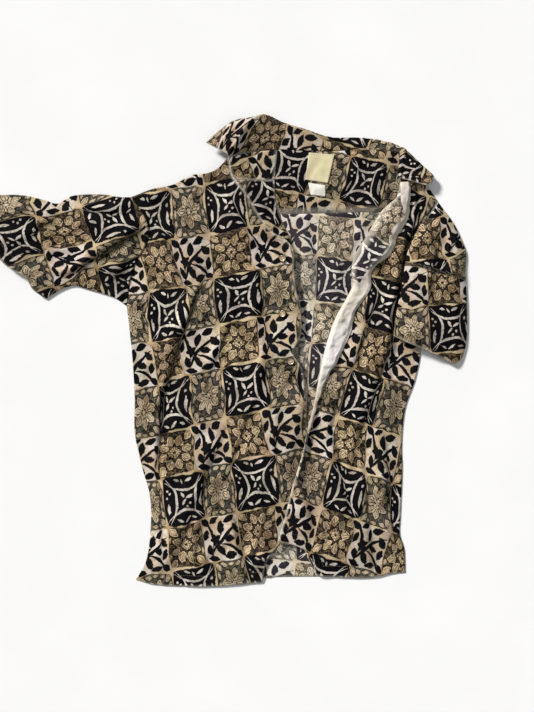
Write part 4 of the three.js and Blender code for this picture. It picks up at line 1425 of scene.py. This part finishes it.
def sleeve_place(shape, base, print_map, seed, grain, seam_share):
    """base(x) is how far the sleeve's underside lies above the floor."""
    def place(u, v):
        angle = 2 * math.pi * u
        w = (1 - np.cos(angle)) / 2
        xy = shape(w, v)
        x, y = xy.T
        full = np.sqrt(np.clip(1 - np.abs(np.cos(angle)) ** 10, 0, 1))
        sewn = smooth(v * shape.height / SEAM_RUN)
        share = seam_share + (1 - seam_share) * sewn
        soft = smooth(w * 6) * smooth((1 - w) * 6)
        creases = fold_height(print_map.folds, x, y) + crumple(x, y, seed, grain)
        creases = creases * soft * (0.3 + 0.7 * sewn)
        upper = (SLEEVE_HEIGHT - SLEEVE_EDGE - SLEEVE_WALLS) * share + creases
        middle = SLEEVE_EDGE * share
        z = np.where(np.sin(angle) > 0, middle + upper * full, middle * (1 - full))
        lift = FLOOR_GAP + base(x) * smooth(v * shape.height / LAID_RUN)
        mirrored = print_map(*(2 * shape(np.zeros_like(w), v) - xy).T)
        lies = np.where((u > 0.5)[:, None], mirrored, print_map(x, y))
        values = {
            "worn": np.clip(1 - (1 - v) * shape.height / 3, 0, 1),
            # Painted shade at the feet of the sleeve's folds.
            "crevice": foot_shade(print_map.folds, x, y),
        }
        return np.column_stack([x, y, z + lift]), lies, values

    return place


sleeve_right_shape = patch(
    edge(ARMHOLE_RIGHT[::-1]), edge(CUFF_RIGHT), edge(OVERARM_RIGHT), edge(UNDERARM_RIGHT)
)
sleeve_right = sheet(
    "sleeve_right", "printed_cloth", (0.46, 0.25), ["floor"],
    (150, cells(sleeve_right_shape.height, SLEEVE_CELL)),
    sleeve_place(sleeve_right_shape, lambda x: 0 * x, PRINT_SLEEVE_RIGHT, 61, 10, 0.36),
    RIGHT_SIDE_UP, **TUBE,
)

sleeve_left_shape = patch(
    edge(ARMHOLE_TOP_LEFT), edge(CUFF_LEFT), edge(OUTER_FOLD_LEFT), edge(INNER_FOLD_LEFT)
)
sleeve_left = sheet(
    "sleeve_left", "printed_cloth", (0.25, 0.25), ["floor", "front_left_cloth"],
    (110, cells(sleeve_left_shape.height, SLEEVE_CELL)),
    sleeve_place(sleeve_left_shape, lambda x: 5.4 * smooth((384 - x) / 30), PRINT_SLEEVE_LEFT,
                 71, 95, 0.3),
    RIGHT_SIDE_UP, **TUBE,
)

# %% [markdown]
# ## Collar
#
# The camp collar is one strip, two layers thick, sewn to the neck. It stands up from the seam,
# rolls over at its crest and falls back. The rows of the table are sections from the right collar
# point round the neck to the left one, and smooth curves join them. A row holds the section's
# point on the seam, on the crest and on the free edge, each as x, y and z.

# %% Make the collar
COLLAR = table(
    (25.5, 316, 17.5, 22, 322, 21, -12, 341, 14),
    (40, 325.5, 15.5, 39, 344, 25, 2, 354, 12),
    (57, 329, 12.5, 52, 364, 25, 24, 371, 11),
    (77, 332, 9, 65, 379, 21, 49, 381, 9),
    (97, 333.5, 6, 84, 387, 15, 80, 377, 4),
    (123, 333, 3.4, 116, 375, 9, 118, 350, 1.6),
    (149, 332, 3.4, 149, 366, 5, 149, 318, 0.65),
    (192, 331.5, 3.4, 192, 353, 3.4, 192, 297, 0.65),
    (250, 333, 3.4, 252, 351, 3.4, 250, 295, 0.65),
    (284, 333, 3.4, 294, 343, 3.4, 300, 290, 0.65),
    (296, 331, 3.6, 305, 338, 3.6, 338, 284, 0.65),
    (306, 328, 5.2, 316, 332, 6.2, 361, 288, 4.6),
    (304, 306, 8.6, 310, 309, 11, 358, 275, 8.6),
    (302, 282, 8, 308, 283, 10, 348, 271, 8),
)
COLLAR_ROLL = 1.35
COLLAR_CLOTH = 1.0
SEAM_LAP = 2.0
COLLAR_MIDDLE = 7 / 13
COLLAR_MIDDLE_X = 192


def collar_lines():
    """Seven curves along the collar: seam, stand, inside, crest, outside, fall and free edge."""
    neck, crest, free = np.hsplit(COLLAR.copy(), 3)
    crest[:, 2] -= COLLAR_ROLL
    neck += (0, -SEAM_LAP, SEAM_LAP / 7)

    def from_crest(target, lift):
        way = target - crest
        way *= 1.6 * COLLAR_ROLL / np.linalg.norm(way, axis=1)[:, None]
        moved = crest + way
        moved[:, 2] = crest[:, 2] + lift
        return moved

    inside = from_crest(neck, COLLAR_ROLL)
    outside = from_crest(free, -COLLAR_ROLL)
    lines = [neck, (neck + inside) / 2, inside, crest, outside, (outside + free) / 2, free]
    return [through(line) for line in lines]


def collar_place(u, v):
    """The print runs on from the middle of the neck by the true length along the collar."""
    lines = collar_lines()
    rows = np.arange(len(lines[0]))
    section = u * rows[-1]
    stations = np.stack([sample(line, rows, section) for line in lines])
    lengths = np.linalg.norm(np.diff(stations, axis=0), axis=2)
    reach = np.vstack([np.zeros_like(u), np.cumsum(lengths, axis=0)])
    place = v * reach[-1]
    points = np.array([
        [np.interp(place[i], reach[:, i], axis) for axis in stations[:, i].T]
        for i in range(len(u))
    ])
    arcs = [lengths_of(line) for line in (lines[0], lines[3], lines[-1])]
    seam, crest, free = (
        np.interp(section, rows, arc - np.interp(COLLAR_MIDDLE * rows[-1], rows, arc))
        for arc in arcs
    )
    along = np.where(v < 0.5, seam + (crest - seam) * 2 * v, crest + (free - crest) * (2 * v - 1))
    along += COLLAR_MIDDLE_X
    wrinkle = 0.9 * crumple(along, place * 1.4, 81, 60) * smooth(v * 5) * smooth(u * 12)
    hidden = smooth((0.3 - np.abs(u - 0.55)) / 0.08)
    points[:, 2] += wrinkle * smooth((points[:, 2] - 1) / 3) * (1 - 0.8 * hidden)
    points[:, 2] = np.maximum(points[:, 2], 0.6)
    free_edge = np.clip(1 - (1 - v) * reach[-1] / WORN_WIDTH, 0, 1)
    ends = np.clip(1 - np.minimum(u, 1 - u) * arcs[0][-1] / WORN_WIDTH, 0, 1)
    return points, PRINT_COLLAR(along, place), {"worn": np.maximum(free_edge, ends)}


sheet(
    "collar", "printed_cloth", (0.5, 0.085), ["floor", "yoke_cloth"], (200, 40), collar_place,
    [printed_cotton, printed_cotton], thickness=COLLAR_CLOTH, offset=0.0,
)

# %% [markdown]
# ## Buttons
#
# A shirt button is turned from a disc: a rounded rim, a shallow dish and four holes, sewn on with
# thread in two bars. Its profile is spun round its axis, and a Boolean cuts the holes.

# %% Shape a button
HOLE_RADIUS = 0.85
HOLE_PLACE = 1.7
BUTTON_PROFILE = [
    (0.0, 0.0), (4.8, 0.0), (5.6, 0.35), (6.0, 1.1), (5.8, 1.9), (5.2, 2.4), (4.5, 2.3),
    (3.9, 1.7), (3.2, 1.5), (0.0, 1.45),
]


def button_place(x, y, spin):
    """Lays a button on the cloth's slope, as high as its rim needs."""
    reach = BUTTON_RADIUS
    around = [(x + reach, y), (x - reach, y), (x, y + reach), (x, y - reach), (x, y)]
    z = front_right_bottom(*table(*around).T) + CLOTH
    slope = ((z[0] - z[1]) / (2 * reach), (z[2] - z[3]) / (2 * reach))
    normal = Vector((-slope[0], -slope[1], 1)).normalized()
    turn = normal.to_track_quat("Z", "Y").to_matrix().to_4x4()
    lift = max(z.max() - z[4] - 1.0, 0) + 0.6
    place = Matrix.Translation(Vector((x, y, z[4] + lift)) * MM)
    return place @ turn @ Matrix.Rotation(math.radians(spin), 4, "Z") @ Matrix.Scale(MM, 4)


def rods(name, segments, radius, depth, matrices, material):
    bm = bmesh.new()
    for matrix in matrices:
        bmesh.ops.create_cone(
            bm, cap_ends=True, segments=segments, radius1=radius, radius2=radius, depth=depth,
            matrix=matrix,
        )
    return mesh_piece(name, bm, [material])


def spun_button(name, matrix):
    bm = bmesh.new()
    verts = [bm.verts.new((r, 0, z)) for r, z in BUTTON_PROFILE]
    edges = [bm.edges.new(pair) for pair in zip(verts, verts[1:])]
    bmesh.ops.spin(
        bm, geom=verts + edges, cent=(0, 0, 0), axis=(0, 0, 1), angle=2 * math.pi, steps=40,
        use_merge=True,
    )
    bmesh.ops.remove_doubles(bm, verts=bm.verts, dist=1e-4)
    bmesh.ops.recalc_face_normals(bm, faces=bm.faces)
    bmesh.ops.transform(bm, matrix=matrix, verts=bm.verts)
    piece = mesh_piece(name + "_disc", bm, [horn], shade_smooth=True)

    holes = [(x, y, 1) for x in (-HOLE_PLACE, HOLE_PLACE) for y in (-HOLE_PLACE, HOLE_PLACE)]
    places = [matrix @ Matrix.Translation(hole) for hole in holes]
    drill = rods("drill", 16, HOLE_RADIUS, 8, places, horn)
    cut = piece.modifiers.new("holes", "BOOLEAN")
    cut.object = drill
    cut.operation = "DIFFERENCE"
    cut.solver = "EXACT"
    shown = piece.evaluated_get(bpy.context.evaluated_depsgraph_get())
    made = bpy.data.meshes.new_from_object(shown)
    piece.modifiers.clear()
    piece.data = made
    bpy.data.objects.remove(drill)
    own = matrix.inverted()
    from_axis = [(own @ vert.co).to_2d().length for vert in made.vertices]
    made.attributes.new("radius", "FLOAT", "POINT").data.foreach_set("value", from_axis)
    return piece


print("button:", 2 * BUTTON_RADIUS, "mm across, holes", 2 * HOLE_RADIUS, "mm")

# %% Sew the buttons on
THREAD_SHIFTS = (-0.28, 0.0, 0.28)
THREAD_RADIUS = 0.2
THREAD_HEIGHT = 1.75


def thread_bars(name, matrix):
    lying = Matrix.Rotation(math.pi / 2, 4, "Y")
    places = [
        matrix @ Matrix.Translation((0, y + shift, THREAD_HEIGHT)) @ lying
        for y in (-HOLE_PLACE, HOLE_PLACE) for shift in THREAD_SHIFTS
    ]
    return rods(name + "_thread", 8, THREAD_RADIUS, 2 * HOLE_PLACE + 0.9, places, sewing_thread)


for name, x, y, spin in BUTTONS:
    matrix = button_place(x, y, spin)
    disc = spun_button(name, matrix)
    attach(disc, "root")
    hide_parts(name)
    bars = thread_bars(name, matrix)
    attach(bars, "root")
    print(disc.name, "faces", len(disc.data.polygons))

# %% [markdown]
# ## Label and size tab
#
# Both are strips of woven satin with their cut ends folded under. They lie on the inner yoke and
# are left blank.

# %% Make the labels
NECK_LABEL = [(151, 282), (188, 276), (199, 323), (157, 326.5)]
SIZE_TAB = [(160, 257), (184, 254.5), (184, 272.5), (156, 277)]
LABEL_CLOTH = 0.5
LABEL_CELL = 1.5
LABEL_GAP = 0.35
OVER_TAB = 0.5


def label(node, corners, material, flat, slot, gap, bow):
    """A bowed strip between four corners, gap above the yoke."""
    a, b, c, d = corners
    shape = patch(edge([a, b]), edge([d, c]), edge([a, d]), edge([b, c]))

    def place(u, v):
        x, y = shape(u, v).T
        swell = bow * np.sin(math.pi * u) * np.sin(math.pi * v) + 0.25 * noise(x / 9, y / 9, 91)
        z = yoke_bottom(x, y) + YOKE_CLOTH + gap + np.maximum(swell, 0)
        lies = np.column_stack([u * shape.width, v * shape.height])
        return np.column_stack([x, y, z]), lies, {}

    return sheet(node, slot, flat, ["yoke_cloth"], grid_of(shape, LABEL_CELL), place, [material],
                 thickness=LABEL_CLOTH)


label("size_tab", SIZE_TAB, tab_satin, (0.027, 0.021), "tab_cloth", LABEL_GAP, 0.7)
neck_label = label("neck_label", NECK_LABEL, label_satin, (0.042, 0.048), "label_cloth",
                   LABEL_GAP + OVER_TAB, 0.9)

# %% [markdown]
# ## Stitches
#
# Lockstitch shows as a row of short grains, each a little longer than the gap to the next. One
# mesh holds all the stitches of a seam. Each is an icosphere stretched along the seam and laid on
# the cloth, sunk a little into it. On a tube or a bowed label a ray from above finds the cloth.

# %% Make stitches
STITCH_PITCH = 3.2
STITCH_LENGTH = 2.3
STITCH_WIDTH = 0.42
STITCH_PROUD = 0.05


def beside(rows, distance, skip):
    """A line beside an edge, to its left where distance is positive, short of both ends."""
    dense = edge(rows)(np.linspace(0, 1, 400))
    along = np.gradient(dense, axis=0)
    along /= np.linalg.norm(along, axis=1)[:, None]
    line = dense + distance * np.column_stack([-along[:, 1], along[:, 0]])
    return line[skip:len(line) - skip]


def stitch_row(bm, line, height):
    """line is points in mm on the plan; height(x, y) is the cloth's top."""
    lengths = lengths_of(line)
    count = int(lengths[-1] / STITCH_PITCH)
    middles = (np.arange(count) + 0.5) * STITCH_PITCH
    ends = []
    for shift in (-STITCH_LENGTH / 2, STITCH_LENGTH / 2):
        xy = sample(line, lengths, middles + shift)
        ends.append(np.column_stack([xy, height(xy[:, 0], xy[:, 1]) + STITCH_PROUD]))
    for start, stop in zip(*ends):
        way = Vector(stop - start)
        turn = way.to_track_quat("X", "Z").to_matrix().to_4x4()
        size = Matrix.Diagonal((way.length / 2, STITCH_WIDTH / 2, STITCH_WIDTH / 2.6, 1))
        middle = Matrix.Translation(Vector((start + stop) / 2) * MM)
        bmesh.ops.create_icosphere(
            bm, subdivisions=1, radius=1, matrix=middle @ Matrix.Scale(MM, 4) @ turn @ size
        )
    return count


def sew(name, *rows):
    bm = bmesh.new()
    count = sum(stitch_row(bm, line, height) for line, height in rows)
    piece = mesh_piece(name, bm, [sewing_thread], shade_smooth=True)
    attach(piece, "root")
    print(name, "stitches:", count)


print("gap between stitches:", round(STITCH_PITCH - STITCH_LENGTH, 1), "mm")

# %% Sew the seams
HEM_DEPTH = 18
YOKE_STITCH_DEPTH = 2.0
LABEL_SEAM = 0.92


def top_of(bottom, thickness=CLOTH):
    return lambda x, y: bottom(x, y) + thickness


def found_top(piece):
    """The height of a piece's upper face, found by rays from above."""
    tree = BVHTree.FromObject(piece, bpy.context.evaluated_depsgraph_get())
    down = Vector((0, 0, -1))

    def height(x, y):
        hits = [tree.ray_cast(Vector((*place, 100)) * MM, down)[0] for place in zip(x, y)]
        return np.array([hit.z / MM for hit in hits])

    return height


sew(
    "hem_stitches",
    (beside(HEM_RIGHT, HEM_DEPTH, 6), top_of(front_right_bottom)),
    (beside(HEM_LEFT, HEM_DEPTH, 30), top_of(front_left_bottom)),
)
sew("yoke_stitches", (beside(YOKE_SEAM, YOKE_STITCH_DEPTH, 4), top_of(yoke_bottom, YOKE_CLOTH)))
sew("cuff_right_stitches", (beside(CUFF_RIGHT, HEM_DEPTH, 34), found_top(sleeve_right)))
sew("cuff_left_stitches", (beside(CUFF_LEFT, -HEM_DEPTH, 34), found_top(sleeve_left)))
label_middle = np.mean(NECK_LABEL, axis=0)
label_seam = label_middle + (np.array(NECK_LABEL) - label_middle) * LABEL_SEAM
label_top = found_top(neck_label)
sew("label_stitches", *(
    (np.linspace(start, stop, 20), label_top)
    for start, stop in zip(label_seam, np.roll(label_seam, -1, axis=0))
))

# %% [markdown]
# ## Measure and finish
#
# The triangles are counted as the modifiers leave them.

# %% Measure and finish
shown = bpy.context.evaluated_depsgraph_get()
triangles = {}
for piece in scene.objects:
    if piece.type == "MESH":
        made = piece.evaluated_get(shown).to_mesh()
        triangles[piece.name] = sum(len(face.vertices) - 2 for face in made.polygons)
        piece.evaluated_get(shown).to_mesh_clear()
most = max(triangles, key=triangles.get)
print("triangles in all:", sum(triangles.values()), "most:", most, triangles[most])
